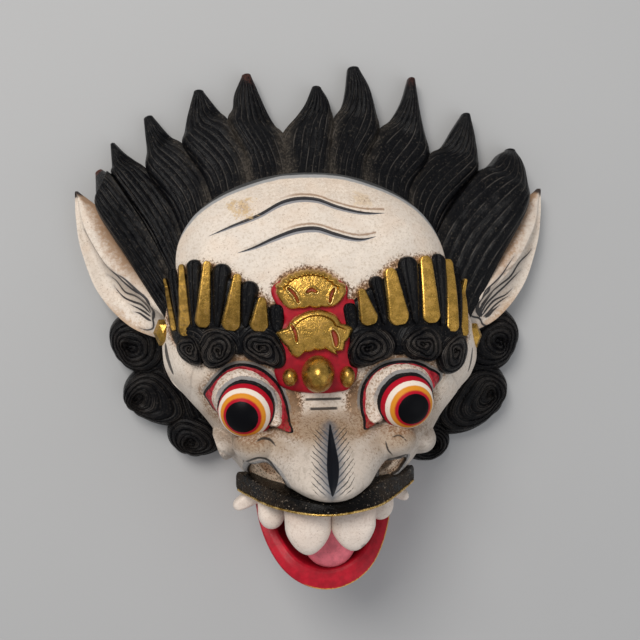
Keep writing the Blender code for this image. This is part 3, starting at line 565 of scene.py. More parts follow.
LID_OUTLINE = [
    [(-59.4, -58), (-62.2, -55.2), (-64.4, -51.4), (-67, -47.4), (-62.8, -41.4), (-58.1, -35.6),
     (-53.3, -31.4), (-46.4, -29), (-39.6, -29.6), (-33.5, -32.1), (-28.2, -36.5), (-24.1, -42),
     (-21.9, -47.5), (-20, -54.6), (-19.4, -60.9), (-17.5, -65.2), (-22.2, -65), (-25.4, -63.6),
     (-28.5, -62.5), (-42, -66), (-54, -62)],
    [(29, -61.5), (26, -62.8), (22.5, -64.5), (19.2, -66), (20.2, -60.5), (19.3, -54.2), (19.6, -47.1),
     (21, -41.7), (24.6, -36.3), (30.1, -32.1), (38, -29.7), (45.9, -29.6), (53, -31.1), (59.3, -34.5),
     (66, -38.5), (66.4, -42), (61.4, -46.2), (60.2, -53), (43, -65)]]
LID_KNOTS = [(-62.6, -46.6), (62.6, -41.2)]  # the small round knot at each outer corner
# How fully the lids stand out, from 0 to 1, at each angle from the nose's side up over the eye.
LID_STRENGTH = [(-90, 0), (-44, 0), (-37, 1), (172, 1), (192, 0.8), (212, 0), (270, 0)]

# Where neighbouring locks part, from left to right, and where they rise from behind the face.
VALLEYS = [
    (-128.5, 58), (-120.8, 78.8), (-100.5, 82.8), (-78.4, 97.7), (-50.7, 112.1), (-17.5, 103.9),
    (13.4, 112.2), (42.2, 106.5), (73.5, 91.2), (104.1, 80), (133, 60)]
ROOTS = [
    (-86, -10), (-83, 14), (-75, 35), (-58, 56), (-36, 67), (-16, 69), (7, 69), (28, 65), (54, 50),
    (68, 32), (89, -14)]
ROOT_SWAY = [0, 2, 3, 3, 3, 0.5, -0.5, -4, -5, -3, 0]  # how far the line from each root bows to a side
LOCK_ROWS, TIP_ROWS = 90, 8
LOCK_STEPS = [0, 0.25, 0.5, 0.68, 0.85, 1]  # how far up a lock each point of its sides lies
STRAND_WIDTH = 3.9
# For each lock: how bare its tip is worn, and how much dust lies in its dish.
LOCK_WEAR = [0.75, 0, 0, 0.35, 0.62, 0, 0, 0.6, 0.2, 0]
LOCK_DUST = [0.6, 0.6, 0.8, 0.9, 1, 1, 0.95, 0.85, 0.7, 0.45]
# A lock's height across it, from its outer side, as a share of its crest.
LOCK_BUMP = [(0, 0), (0.06, 0.55), (0.16, 0.92), (0.27, 1), (0.42, 0.78), (0.62, 0.4), (0.82, 0.2), (1, 0)]
# Each lock's left and right side, from the valley beside it to its tip.
LOCK_SIDES = [
    ([(-129.6, 65), (-130.8, 73), (-131.8, 80)], [(-122.8, 80), (-124.8, 81.2), (-127.6, 83)]),
    ([(-121.4, 85), (-121.9, 93), (-122.2, 97.9)], [(-107.7, 88.3), (-114.2, 93.3), (-119.6, 98.9)]),
    ([(-100.3, 94), (-101.1, 103), (-101.9, 112.8)], [(-85.4, 102.2), (-90.4, 107.7), (-96.3, 115.1)]),
    ([(-77.3, 105.4), (-75.3, 115.7), (-71.4, 129.6)], [(-55.6, 117.4), (-60.2, 123.2), (-65.2, 130)]),
    ([(-47.9, 119.5), (-46.6, 128.5), (-42, 139.2)], [(-22.6, 110), (-27.8, 120), (-36.3, 140.2)]),
    ([(-8, 115.8), (-3, 123.2), (1.2, 132.8)], [(12.9, 118.4), (10.9, 125.6), (7.1, 132.3)]),
    ([(19.4, 121), (22, 130.9), (23.6, 144)], [(40.9, 117.2), (37.3, 132), (30.9, 144.5)]),
    ([(50.4, 113.3), (57.4, 125), (61.8, 138.8)], [(71.3, 105.6), (68.3, 121), (66.1, 138.2)]),
    ([(82.8, 96.6), (90, 107.6), (96.3, 116.8)], [(105.5, 90), (103.8, 103.5), (101.2, 116.4)]),
    ([(112.6, 84.2), (119.3, 91.4), (124.9, 94.5)], [(134.6, 72.5), (133.6, 85.7), (130.6, 93.8)])]

EAR_INNER = [(-82, -8), (-97, 12), (-111, 28), (-121.5, 45), (-128, 58), (-142.5, 70)]
EAR_OUTER = [(-86, -22), (-112, -12), (-131, 8.5), (-140.5, 34), (-143.2, 52), (-143.6, 69)]
EAR_KNOT = (-97.7, -4.5)  # the small knob where the brushed hairs meet
EAR_MIRROR = 2.1  # the left and right ears' places across add up to this
# Along the ear from its root to its tip: where its fold lies across it, and its heights.
EAR_FOLD = [0.25, 0.32, 0.42, 0.58, 0.72, 0.6]
EAR_RIM_HEIGHT = [42, 38, 32, 26, 21, 15]
EAR_BOWL_DEPTH = [4, 9, 10, 7, 3, 1]
EAR_EDGE_HEIGHT = [30, 22, 17, 15, 14, 13]
EAR_BACK_HEIGHT = [0.5, 4, 6, 7, 7, 8]
EAR_FOLD_LINE = [
    (-138.2, 46.8), (-134.3, 40), (-130.3, 33.2), (-124.7, 25.5), (-118.2, 19.9), (-112.7, 16.9),
    (-107.9, 10.9), (-102.2, 4.9), (-98.6, -0.3), (-97.4, -3.7)]
EAR_HAIRS = [
    ([(-117.4, 19.9), (-111.8, 16), (-104.5, 9.2), (-99.4, 4.3), (-97.3, -1.9)], 1.5),
    ([(-127, 25.7), (-119.4, 20.8), (-113.3, 15.1), (-107.6, 10.3), (-101.3, 6.3), (-97.3, -0.7)], 1.1),
    ([(-125.7, 19.5), (-119.4, 15.6), (-114.4, 8.7), (-106.5, 6.2), (-100.7, 1.2), (-98.5, -4.1)], 1.3),
    ([(-122, 12.9), (-116, 5.8), (-109.6, 2.8), (-104.1, 0.9), (-99.2, -4.1)], 1.4),
    ([(-113.1, 1.8), (-106.7, -1.2), (-102.8, -3.5), (-99, -6.2)], 1.3),
    ([(-110.1, -3.2), (-105.9, -4.3), (-101.6, -7.3), (-99, -8.7)], 1.4),
    ([(-106.8, -12.7), (-101.9, -14.1), (-97.9, -13.1), (-97.5, -9.6), (-98.3, -7.3)], 1.1),
    ([(-98.4, 1.5), (-96.6, -3), (-98, -8.5)], 1.8)]
RIGHT_EAR_HAIRS = [
    ([(-137.5, 31.9), (-134.4, 27.9), (-128.9, 22.7), (-123, 14.3), (-114.7, 9.1), (-108.6, 5.2),
     (-101, -3)], 1.3),
    ([(-121.3, 27.6), (-116.4, 21.6), (-111.5, 15.6), (-106, 10.7), (-100.3, 5.9), (-97.1, -1.5)], 0.9),
    ([(-130.3, 18.5), (-125.1, 13.7), (-119.1, 8.4), (-111.7, 2.8), (-106, -2.1), (-101.3, -9.2)], 1.3),
    ([(-124.7, 7.5), (-119.1, 2.8), (-111.7, -0.2), (-107.2, -4.1), (-102.7, -9.2)], 1.2),
    ([(-122.3, 2.8), (-116.3, -0.5), (-110.8, -4.2), (-106.3, -8.3), (-103.3, -10.3)], 1.1),
    ([(-115.2, -3.2), (-110.2, -6.6), (-107, -9.4), (-104.3, -10.8)], 1.5),
    ([(-96, 5.5), (-92.3, 1.7), (-90.3, -4), (-94.8, -9.5), (-100.4, -11.2), (-102.5, -15), (-107, -16.2),
     (-112, -13.5)], 1.2), ([(-104.5, 9.5), (-100.6, 3), (-97.9, -3), (-101.2, -10.3)], 3.4),
    ([(-110, 5.2), (-104.5, -0.9), (-101.2, -6), (-102, -10.3)], 2.2)]

# Curls beside the face: outline, the eye of the spiral, and which way it turns.
SIDE_CURLS = [
    ([(-104, -4), (-116, -5), (-123, -8), (-126.5, -13), (-127, -21), (-124.6, -29), (-119.8, -35.8),
     (-112.4, -41.5), (-98, -44), (-86, -36), (-88, -12)], (-114.5, -26.5), 1),
    ([(-112, -41), (-118.2, -47.6), (-119.6, -54), (-118.1, -61.3), (-112.7, -66.4), (-105.7, -71.2),
     (-98.7, -74.8), (-88, -77), (-74, -72), (-80, -50), (-96, -36)], (-111.5, -59.5), 1),
    ([(-93, -76), (-93.4, -83), (-88.9, -89.8), (-80.8, -94.2), (-70.6, -95.4), (-62.2, -93.5), (-56, -90),
     (-58, -78), (-70, -68), (-86, -68)], (-79, -87), 1),
    ([(108, -2), (120, -3.5), (126.7, -8.2), (131.6, -14), (133.6, -22.2), (132, -29.6), (127.8, -38),
     (120.2, -46), (104, -48), (90, -36), (92, -12)], (119.5, -28), -1),
    ([(104, -38), (118, -42.5), (124.8, -51), (125.9, -58.6), (122.4, -67.6), (114.8, -76.2), (106, -83.2),
     (95.5, -87.5), (84, -88.5), (72, -80), (80, -56)], (113.5, -62), -1),
    ([(86.4, -84), (87.6, -92.5), (84.2, -98.4), (78.7, -102.4), (70, -104.2), (61, -102.1), (54, -92),
     (60, -80), (76, -76)], (76, -92.5), -1)]
# The beds of strands behind those curls: from where to where.
SIDE_HAIR = [((-93, -6), (-70, -84)), ((96, -8), (68, -88))]

ORNAMENT_GROUND = [
    (-28.9, 11.2), (-27.6, 5.1), (-22.2, -1.7), (-22, -6.7), (-27.4, -11.9), (-24.6, -18.3), (-22.6, -25.6),
    (-27.6, -31.3), (-27, -36), (-24.2, -41.9), (-19.2, -44.2), (-12.2, -45.5), (-3.7, -46.2), (6.4, -45.9),
    (12.2, -45.2), (16.4, -40.6), (18, -35.2), (17.8, -30.6), (13.6, -24.5), (13.9, -17.3), (18.8, -12),
    (18.3, -7.8), (10.4, 0.8), (15.6, 6.6), (14.2, 11), (9, 15), (-6, 20), (-22, 16)]
ORNAMENT_CENTRE = (-4.5, -18)
UPPER_FAN = [
    (-26.4, 11.9), (-23.3, 15.4), (-19.3, 18.4), (-15.8, 19.7), (-12.2, 20.7), (-7.4, 21.2), (-2.6, 20.8),
    (1.8, 19.6), (5.4, 17.3), (8.9, 14.6), (12.6, 11.5), (12.1, 7.8), (9.6, 3.8), (6, 1.1), (-1.1, 0.8),
    (-8.1, 1), (-14.3, 0.2), (-19.2, -0.2), (-22.6, 2.7), (-25.8, 8)]
LOWER_FAN = [
    (-27.2, -12.2), (-20.9, -9.7), (-18.6, -6.2), (-12.6, -2.2), (-5.5, -0.4), (1.6, -1.1), (6.9, -3.9),
    (9, -7.7), (15.8, -10.5), (14.1, -14.9), (11.3, -18.4), (10.4, -22.8), (8.1, -25.9), (5.7, -23.3),
    (0.4, -21.9), (-5.8, -22.2), (-12, -23.4), (-14.9, -26.6), (-18.2, -25), (-20.8, -20.3), (-24.6, -15.8)]
FAN_SLOTS = [
    ([(-19.4, 11.4), (-16.2, 8.2), (-14, 3.8)], 1.1), ([(5.3, 10.8), (3.7, 7.5), (2.7, 3.4)], 1.2),
    ([(-9.6, 9), (-7, 10.3), (-4.3, 9.2)], 1.5), ([(-18.2, -7.9), (-16.1, -12.2), (-15.4, -17)], 1.2),
    ([(3.8, -11.5), (5.3, -15.4), (5.7, -19.9)], 2.3)]
BOSSES = [((-4, -35), (8.9, 10.2, 14.5)), ((-19, -36.5), (4.2, 5, 6)), ((12, -37), (4.2, 6, 6))]
EAR_STUDS = [((-89.5, -14.4, 41), (6.5, 9, 8)), ((92.8, -20.2, 41), (6, 8.8, 7))]
BROW_GROUNDS = [
    ([(-86, 11), (-81, 17), (-75.1, 19), (-69, 21), (-61.2, 21.5), (-52.5, 18.5), (-45.6, 13.5),
     (-37.7, 8.5), (-31, 1.5), (-23.8, -1.5), (-21.6, -4.9), (-21.8, -12), (-24.1, -20), (-34.8, -22),
     (-48.1, -24), (-59.5, -24), (-71.8, -24), (-82, -20), (-86, -8)], (-52, -6)),
    ([(9.8, -1), (16, 3.5), (23.1, 9.5), (31, 13.5), (39, 20), (46, 22.5), (56, 23.5), (66, 24.2), (76, 22),
     (84, 16.5), (88.5, 10), (87.5, -4), (86, -18), (80, -28), (66, -28), (50, -24), (30, -24), (15, -22),
     (10.5, -12)], (48, -4))]

LIP_TOP = [
    (-49.5, -92), (-39, -93.9), (-31, -94.4), (-22, -95.4), (-11.5, -96.4), (-0.6, -96.8), (12.3, -94.8),
    (23.2, -92), (31.3, -91.3), (44.6, -93.8), (53, -91.8)]
LIP_BOTTOM = [
    (-49.5, -103.1), (-42.7, -103), (-36.7, -102.6), (-22.2, -101.5), (-11.5, -101.5), (-0.7, -101.5),
    (12, -101), (22.4, -101.3), (34.6, -101.3), (45.5, -101.9), (53, -101.5)]
LIP_MIDDLE, LIP_HALF = 1.75, 51.3
TOOTH_POINT = 1.2  # how long a tooth's rounded end is, in half widths
LIP_HEIGHT = [
    (-49.5, 61), (-40, 78), (-31, 94), (-22, 106), (-11.5, 114), (0, 117), (12, 114), (23, 105), (33, 91),
    (44.6, 74), (53, 61)]
# Each tooth's top and foot, its widths there, its depth, and how square, tapered and blunt it is.
TEETH = [
    ((-11.6, -97, 100), (-11.6, -128.4, 101), 25.4, 23, 9, 2.5, 1.6, 0.62),
    ((12, -97, 100), (12.1, -127.2, 101), 24.8, 22.6, 9, 2.5, 1.6, 0.62),
    ((-30, -100, 77), (-30.3, -119.6, 84), 15.5, 14.2, 8),
    ((29.3, -99, 78), (29.8, -117.4, 82), 16, 14.8, 8),
    ((-32, -103, 60), (-51.2, -113.4, 62), 12.5, 5.6, 5, 3.2, 1.8, 0.45),
    ((34, -102, 61), (49.2, -111.4, 63), 11, 5, 5, 3.2, 1.8, 0.45)]
JAW_POLE = np.array([0.5, -106.0])
JAW_OUTER = np.array([39.5, 49.8])
JAW_INNER = np.array([31.5, 38.5])
JAW_BACK = np.array([33.0, 33.0])
JAW_RIM_HEIGHT = [(-156, 83), (-146, 80), (-132, 71), (-118, 63), (-106, 56), (-50, 50)]
MOUTH_FLOOR = 48.0

# ---------------------------------------------------------------- forms

NO_SLOT = -9.0  # the slot mark of gilding that has no slot in it
RELIEF_SINK = 7.0  # how far a raised form's foot goes under the skin
BACK_GAP = 0.3  # the least height of the hair over the flat back
FACE_SPOKES, FACE_RINGS = 440, 190
# How far down the wall, and how far out from the hollow's middle, each ring of the rest lies.
WALL_SHARES = np.array([0.03, 0.2, 0.4, 0.6, 0.8, 0.97, 1.0])
HOLLOW_SHARES = np.array([1.0, 0.985, 0.95, 0.9, 0.84, 0.77, 0.69, 0.6, 0.5, 0.4, 0.3, 0.2, 0.1])


def ovals(turns, half_wide, half_high):
    """The reach of an oval at these angles."""
    return 1 / np.hypot(np.cos(turns) / half_wide, np.sin(turns) / half_high)


def reach_through(points, centre, turns, soften):
    """How far a closed outline through these points lies from a centre at each of these
    evenly spaced angles, evened over a few of them."""
    offset = np.array(points) - np.array(centre)
    at = np.arctan2(offset[:, 1], offset[:, 0]) % TURN
    order = np.argsort(at)
    reach = np.interp(turns % TURN, at[order], np.hypot(*offset.T)[order], period=TURN)
    share = np.hanning(2 * soften + 3)[1:-1]
    round_again = np.concatenate([reach[-soften:], reach, reach[:soften]])
    return np.convolve(round_again, share / share.sum(), "valid")


# Dirt and dark washes: each patch's middle, half widths and strength.
DIRT_PATCHES = [
    (-45, -29, 24, 5, 1.4), (45, -30, 24, 5, 1.4), (-18, -52, 6, 15, 1.5), (17, -51, 6, 14, 1.45),
    (-18, -65, 15, 4, 1), (17, -65, 14, 4, 1), (-47, -71, 16, 4, 1.2), (-60, -82, 9, 10, 0.6),
    (48, -68.5, 15, 4, 1.2), (58, -71, 8, 6, 0.6), (-33, -88, 10, 6, 1.3), (35, -88, 9, 6, 1.2),
    (-45, 57, 7, 4, 0.4), (26, 60, 9, 3, 0.35), (-24, -78, 9, 10, 0.45), (24, -77, 8, 10, 0.4),
    (-62, -58, 8, 12, 0.45), (66, -56, 6, 12, 0.4), (0, -60, 22, 5, 0.4)]
# Brush strokes and shallow creases on the face.
FACE_STROKES = [
    (NOSTRIL_RIMS[0], 1.3), (NOSTRIL_RIMS[1], 1.6), ([(34, -84.5), (38, -81.5), (45, -82), (46, -85)], 1.2),
    ([(-38.1, -68.6), (-34.6, -67.3), (-30.5, -68.4), (-27.4, -71.8)], 1.1),
    ([(30.8, -70.6), (31.9, -75.1), (34.9, -78.9)], 0.9), ([(34, -68.6), (38.6, -68), (42.5, -71.2)], 0.7),
    ([(-88.5, -20), (-87.5, -28), (-84, -38.5)], 2.2), ([(90.5, -26), (88.8, -34), (87.3, -41)], 1.6)]
WASHES = [(0, -63, 28, 9, 1.1), (36, -71, 22, 7, 0.8), (62, -62, 10, 14, 0.5)]  # on either side
FACE_CREASES = [
    [(-75.5, -54), (-74, -46), (-73, -38), (-71, -32)], [(84, -53), (79, -46), (74, -40)],
    [(-60.5, -78), (-55, -80), (-50, -86)], [(66, -76), (58, -86), (52, -88)]]


def patches(x, y, places):
    """Soft oval patches, the strongest of them at each place: each has its middle, its half
    widths across and up, and its strength."""
    return np.max([share * np.exp(-(((x - across) / wide) ** 2) - ((y - up) / high) ** 2)
                   for across, up, wide, high, share in places], axis=0)


def filled(mark, shape, elsewhere):
    """A mark known on a grid's first rows and columns, with one value on the rest."""
    whole = np.full(shape, elsewhere, float)
    whole[:mark.shape[0], :mark.shape[1]] = mark
    return whole


def edge_kept(mark, shape):
    """A mark known on a grid's first columns, with its last one repeated over the rest."""
    return np.pad(mark, [(0, 0), (0, shape[1] - mark.shape[1])], mode="edge")


def dirt_on(x, y):
    """How much brown dirt lies on the skin: strong beside the brows, falling off over a few
    millimetres, and in soft oval patches round the eyes and in the nostrils."""
    dirt = patches(x, y, DIRT_PATCHES)
    edges = [[(px, py + 2) for px, py in outline] for outline, _ in BROW_GROUNDS] + [UPPER_FAN]
    for edge, wide in zip(edges, (4.2, 4.2, 3.0)):
        dirt = np.maximum(dirt, 0.95 * bell(line_distance(x, y, edge + edge[:1]), wide))
    return dirt


def face_skin(sizes):
    """The head as one closed skin: rings out from a pole between the eyes over the carved
    front, down the side walls, in across the flat back and up over the hollow."""
    angles, reach = head_outline(FACE_SPOKES)
    ways = ways_of(angles)
    shares = np.linspace(0, 1, FACE_RINGS + 1)[1:, None]
    front = HEAD_POLE + ways * (reach * shares)[..., None]
    x, y = front[..., 0], front[..., 1]
    height = carved_skin(x, y, sizes)
    creases = [line_distance(x, y, along(points, np.linspace(0, 1, 12))) for points in FACE_CREASES]
    for away in creases:
        height = height - 0.7 * bell(away, 0.9)
    slope = np.clip(-FACE_RINGS * np.gradient(height, axis=0) / reach, 0.5, 1.9)
    front = np.dstack([x, y, height])
    foot = np.column_stack([HEAD_POLE + ways * (reach - WALL_INSET)[:, None], np.zeros(len(angles))])
    wall = front[-1] + (foot - front[-1]) * WALL_SHARES[:, None, None]
    rim = ways * ovals(angles, *HOLLOW_HALF)[:, None]
    depth = HOLLOW_DEPTH * np.sqrt(1 - HOLLOW_SHARES[:, None] ** 3.6)
    inside = HOLLOW_CENTRE + rim * HOLLOW_SHARES[:, None, None]
    gouge = 0.6 * wobble(inside[..., 0], inside[..., 1], 13.0, 1.3) * ramp(depth, 4, 20)
    hollow = np.dstack([inside, np.maximum(depth + gouge, 0)])
    grid = np.concatenate([front, wall, hollow])
    around = [beyond(x, y, lines, eye[:2]) for lines, eye in zip(LID_OUTLINE, EYES)]
    # Each mark on the front, and its value on the wall and in the hollow.
    marks = {
        "dirt": (dirt_on(x, y), 0),
        "wash": (patches(np.abs(x), y, WASHES), 0),
        "ink": (np.max([stroke(x, y, *drawn) for drawn in FACE_STROKES], axis=0), -5),
        "crease": (np.min(creases, axis=0), 20),
        "slit": (knot_curve(SLIT_LENS, y) - np.abs(x - knot_curve(SLIT_MIDDLE, y)), -50),
        "pit": (-np.min([beyond(x, y, *pit) for pit in NOSTRIL_PITS], axis=0), -50),
        "lid": (np.min(around, axis=0), 50),
        "edge": ((height - 43.2) / slope + 40 * (1 - ramp(y, 2, 12)), 20),
    }
    for name, points in (("upper", UPPER_WRINKLE), ("lower", LOWER_WRINKLE)):
        t = (x - points[0][0]) / (points[-1][0] - points[0][0])
        marks[name] = (y - knot_curve(points, x), 30)
        marks[name + "_width"] = (np.sign(t * (1 - t)) * np.abs(4 * t * (1 - t)) ** 0.65, -1)
    marks = {name: filled(mark, grid.shape[:2], elsewhere) for name, (mark, elsewhere) in marks.items()}
    wall_end = len(front) + len(wall)
    marks["edge"][len(front):wall_end] = 20 - 21 * ramp(wall[..., 1], 14, 24)
    return shell(grid, bare=(np.arange(len(grid)) >= wall_end - 1)[:, None], **marks)


def up_line(top, foot, rows, first=0.03, last=0.97):
    """Places up a straight line from foot to top, closer together near its ends: the share of
    the way, the places, the direction and the line's length."""
    top, foot = np.array(top, float), np.array(foot, float)
    length = np.linalg.norm(top - foot)
    share = (1 - np.cos(np.linspace(first, last, rows) * math.pi)) / 2
    return share, foot + (top - foot) * share[:, None], (top - foot) / length, length


def rounded_end(inward):
    """How full a bar is near its end: a quarter circle, from a little over 0 at the end to 1."""
    return np.sqrt(np.clip(1 - np.clip(1 - inward, 0, 1) ** 2, 0.02, 1))


def plume_skin(top, foot, top_width, foot_width, rise, power, groove=0.0, hair=False):
    """A plume laid on the skin: a straight line from foot to top, rounded at both ends as a
    half oval. Across, its height is the root of one less a power of the place, from -1 to 1."""
    share, middle, ahead, length = up_line(top, foot, 56)
    width = foot_width + (top_width - foot_width) * share**0.85
    full = rounded_end(2.2 * np.minimum(share, 1 - share) * length / width)
    u = np.concatenate([np.sin(np.linspace(-0.5, 0.5, 31) * math.pi), np.linspace(0.8, -0.8, 7)])
    lifted = np.concatenate([1.3 * np.sqrt(1 - np.abs(u[:31]) ** power) - 0.3, np.full(7, -1.0)])
    aside = np.array([ahead[1], -ahead[0]])
    place = middle[:, None] + aside * (u * (width * full)[:, None] / 2)[..., None]
    skin = skin_height(middle[:, 0], middle[:, 1])[:, None]
    height = np.where(lifted > 0, rise * lifted * ramp(full, 0.0, 0.5)[:, None], 4.0 * lifted) + skin
    height = height - groove * bell(u + 0.1, 0.16) * ramp(share[:, None], 0.05, 0.3) * (lifted > 0)
    grid = np.dstack([place, height])
    if hair:
        return shell(grid, groove=1, phase=2 * u, dish=0.2, flow=3 * share[:, None], worn=0)
    return shell(grid, across=u, slot=NO_SLOT)


def relief_skin(centre, turns, reach, shares, rises, level=None, **marks):
    """A raised form round a centre: rings at these shares of the reach, lifted over the skin
    by rises, closed by a ring sunk below."""
    place = np.array(centre) + ways_of(turns) * (reach * shares[:, None])[..., None]
    base = skin_height(place[..., 0], place[..., 1]) if level is None else np.full(place.shape[:2], level)
    under = np.dstack([place[-1:], np.maximum(base[-1:] - RELIEF_SINK, level or 0)])
    marks = {name: np.broadcast_to(mark, base.shape) for name, mark in marks.items()}
    last = {name: np.concatenate([mark, mark[-1:]]) for name, mark in marks.items()}
    return shell(np.concatenate([np.dstack([place, base + rises]), under]), **last)


def curl_skin(outline, eye, hand, rise, groove, coils, level=None):
    """A curl of hair: a cushion inside an outline, a little sunk at its eye, with spiral
    grooves; each groove runs where coils times the share out from the eye, less the turn, is
    whole, and two finer ones run between."""
    turns = turns_round(180)
    shares = np.linspace(0, 1, 81)[1:]
    reach = reach_through(outline, eye, turns, 6)
    out, turn = shares[:, None], turns[None, :]
    swirl = 0.22 * np.sin(2 * turn + 5 * out + eye[0]) + 0.16 * np.sin(3 * turn - 4 * out + eye[1])
    phase = coils * out**0.85 - hand * turn / TURN + swirl
    ridge = np.abs(np.sin(math.pi * phase)) ** 0.6
    fine = np.abs(np.sin(3 * math.pi * phase)) ** 0.8
    body = rise * (0.74 + 0.26 * ramp(out, 0.0, 0.34) - 0.1 * ramp(out, 0.45, 0.95))
    body = body * np.sqrt(np.clip(1 - out**7, 0.02, 1))
    body = body - (groove * (1 - ridge) + 0.18 * groove * (1 - fine)) * (1 - ramp(out, 0.94, 1))
    skin = relief_skin(eye, turns, reach, shares, body, level,
                       groove=ridge, phase=2 * phase, dish=0.2, flow=3 * out, worn=0)
    if level is not None:
        skin[0][:, 2] = np.maximum(skin[0][:, 2], BACK_GAP)
    return skin


def ball(rows, columns, first=0.02, last=0.98):
    """The directions out of a ball in rows from one pole to the other, and each row's angle."""
    polar = np.linspace(first, last, rows)[:, None] * math.pi
    turn = turns_round(columns)
    ways = [np.sin(polar) * np.cos(turn), np.sin(polar) * np.sin(turn), np.cos(polar) * np.ones(columns)]
    return np.dstack(ways), polar


def egg_skin(centre, radii, rows=36, columns=48):
    """An egg: a sphere of unequal radii, its rows running from its back to its front."""
    return shell(np.array(centre) + ball(rows, columns)[0] * np.array(radii), across=0, slot=NO_SLOT)


def lock_skin(number, groove):
    """One flame-shaped lock: its sides are smooth lines from the root past the valley to the
    tip; its top is a steep crest near the outer side that falls to a shallow dish and turns
    into a rounded ridge at the tip. Grooves run up it and lean over to the outer side: each
    lies where the share across, plus a drift that grows up the lock, makes a whole number."""
    s = np.concatenate([np.linspace(0, 1, LOCK_ROWS), np.ones(TIP_ROWS)])
    bend = np.linspace(0, 0.5, TIP_ROWS + 1)[1:] * math.pi  # the last rows turn down round the tip
    turned = np.concatenate([np.zeros(LOCK_ROWS), bend])[:, None]
    sides = []
    for at, points, way in zip((number, number + 1), LOCK_SIDES[number], (-0.7, 0.7)):
        root, valley = np.array(ROOTS[at]), np.array(VALLEYS[at])
        line = np.array([root, (root + valley) / 2 + (ROOT_SWAY[at], 0), valley, *points])
        side = [knot_curve(np.column_stack([LOCK_STEPS, part]), s) for part in line.T]
        sides.append(np.column_stack(side) + (1 - ramp(s, 0.42, 0.55))[:, None] * (way, 0))
    middle, half = (sides[0] + sides[1]) / 2, (sides[1] - sides[0]) / 2
    ahead = np.column_stack([-half[:, 1], half[:, 0]]) * 0.6
    left, right = (middle + way * half * np.cos(turned) + ahead * np.sin(turned) for way in (-1, 1))
    u = np.linspace(0, 1, 91)
    place = left[:, None] + (right - left)[:, None] * u[None, :, None]
    width = np.hypot(*(right - left).T)
    out = (u if number < len(LOCK_SIDES) / 2 else 1 - u)[None, :]
    up = s[:, None]
    edge_lock = number in (0, len(LOCK_SIDES) - 1)
    level = knot_curve([(0, 41), (0.5, 27 if edge_lock else 15), (1, 8)], s)
    crest = (2.0 + 5.0 * ramp(s, 0.1, 0.5)) * (1 - 0.45 * s**3)
    ridged = ramp(up, 0.55, 0.9)
    rounded = np.sqrt(np.clip(1 - (2 * out - 1) ** 2, 0, 1))
    across = knot_curve(LOCK_BUMP, out) * (1 - ridged) + rounded * ridged
    strands = np.clip(np.round(width.max() / STRAND_WIDTH), 5, 7)
    drift = (1.5 if number in (4, 5) else 2.4) * ramp(up, 0.15, 0.95)
    phase = strands * out**0.9 + drift + 0.3 * np.sin(up * 7 + number) * np.sin(math.pi * out)
    ridge = np.abs(np.sin(math.pi * phase)) ** 0.45
    fine = np.abs(np.sin(math.pi * (3 * phase + 0.4 * np.sin(up * 9)))) ** 0.7
    fade = ramp(width, 6, 15)[:, None] * ramp(out, 0.0, 0.05) * (1 - 0.6 * ramp(out, 0.9, 1.0))
    height = level[:, None] + crest[:, None] * across
    height = height - groove * (1 - ridge) * fade - 0.12 * (1 - fine) * fade
    height = height + 0.18 * wobble(place[..., 0], place[..., 1], 9.0, number + 0.5)
    height = height * (0.45 + 0.55 * np.cos(turned))
    back = place[:, 75:0:-15]
    back = back + (place[:, 45:46] - back) * 0.06
    back = np.dstack([back, np.full(back.shape[:2], BACK_GAP)])
    low = np.dstack([place[:, [-1, 0]], np.minimum(height[:, [-1, 0]] - 2.5, 4.0)])
    grid = np.concatenate([np.dstack([place, height]), low[:, :1], back, low[:, 1:]], axis=1)
    dish = ramp(out, 0.5, 1.0) * (1 - ridged) + 0.7 * bell(up, 0.16)
    if number in (4, 5, 6):
        dish = np.maximum(dish, ramp(np.abs(out - 0.5), 0.25, 0.5) * (1 - ridged))
    shape = grid.shape[:2]
    return shell(grid, groove=filled(ridge * fade + 1 - fade, shape, 1), phase=edge_kept(phase, shape),
                 dish=filled(dish * LOCK_DUST[number], shape, 0.3), flow=6 * up + number,
                 worn=LOCK_WEAR[number] * ramp(up, 0.84, 1.0))


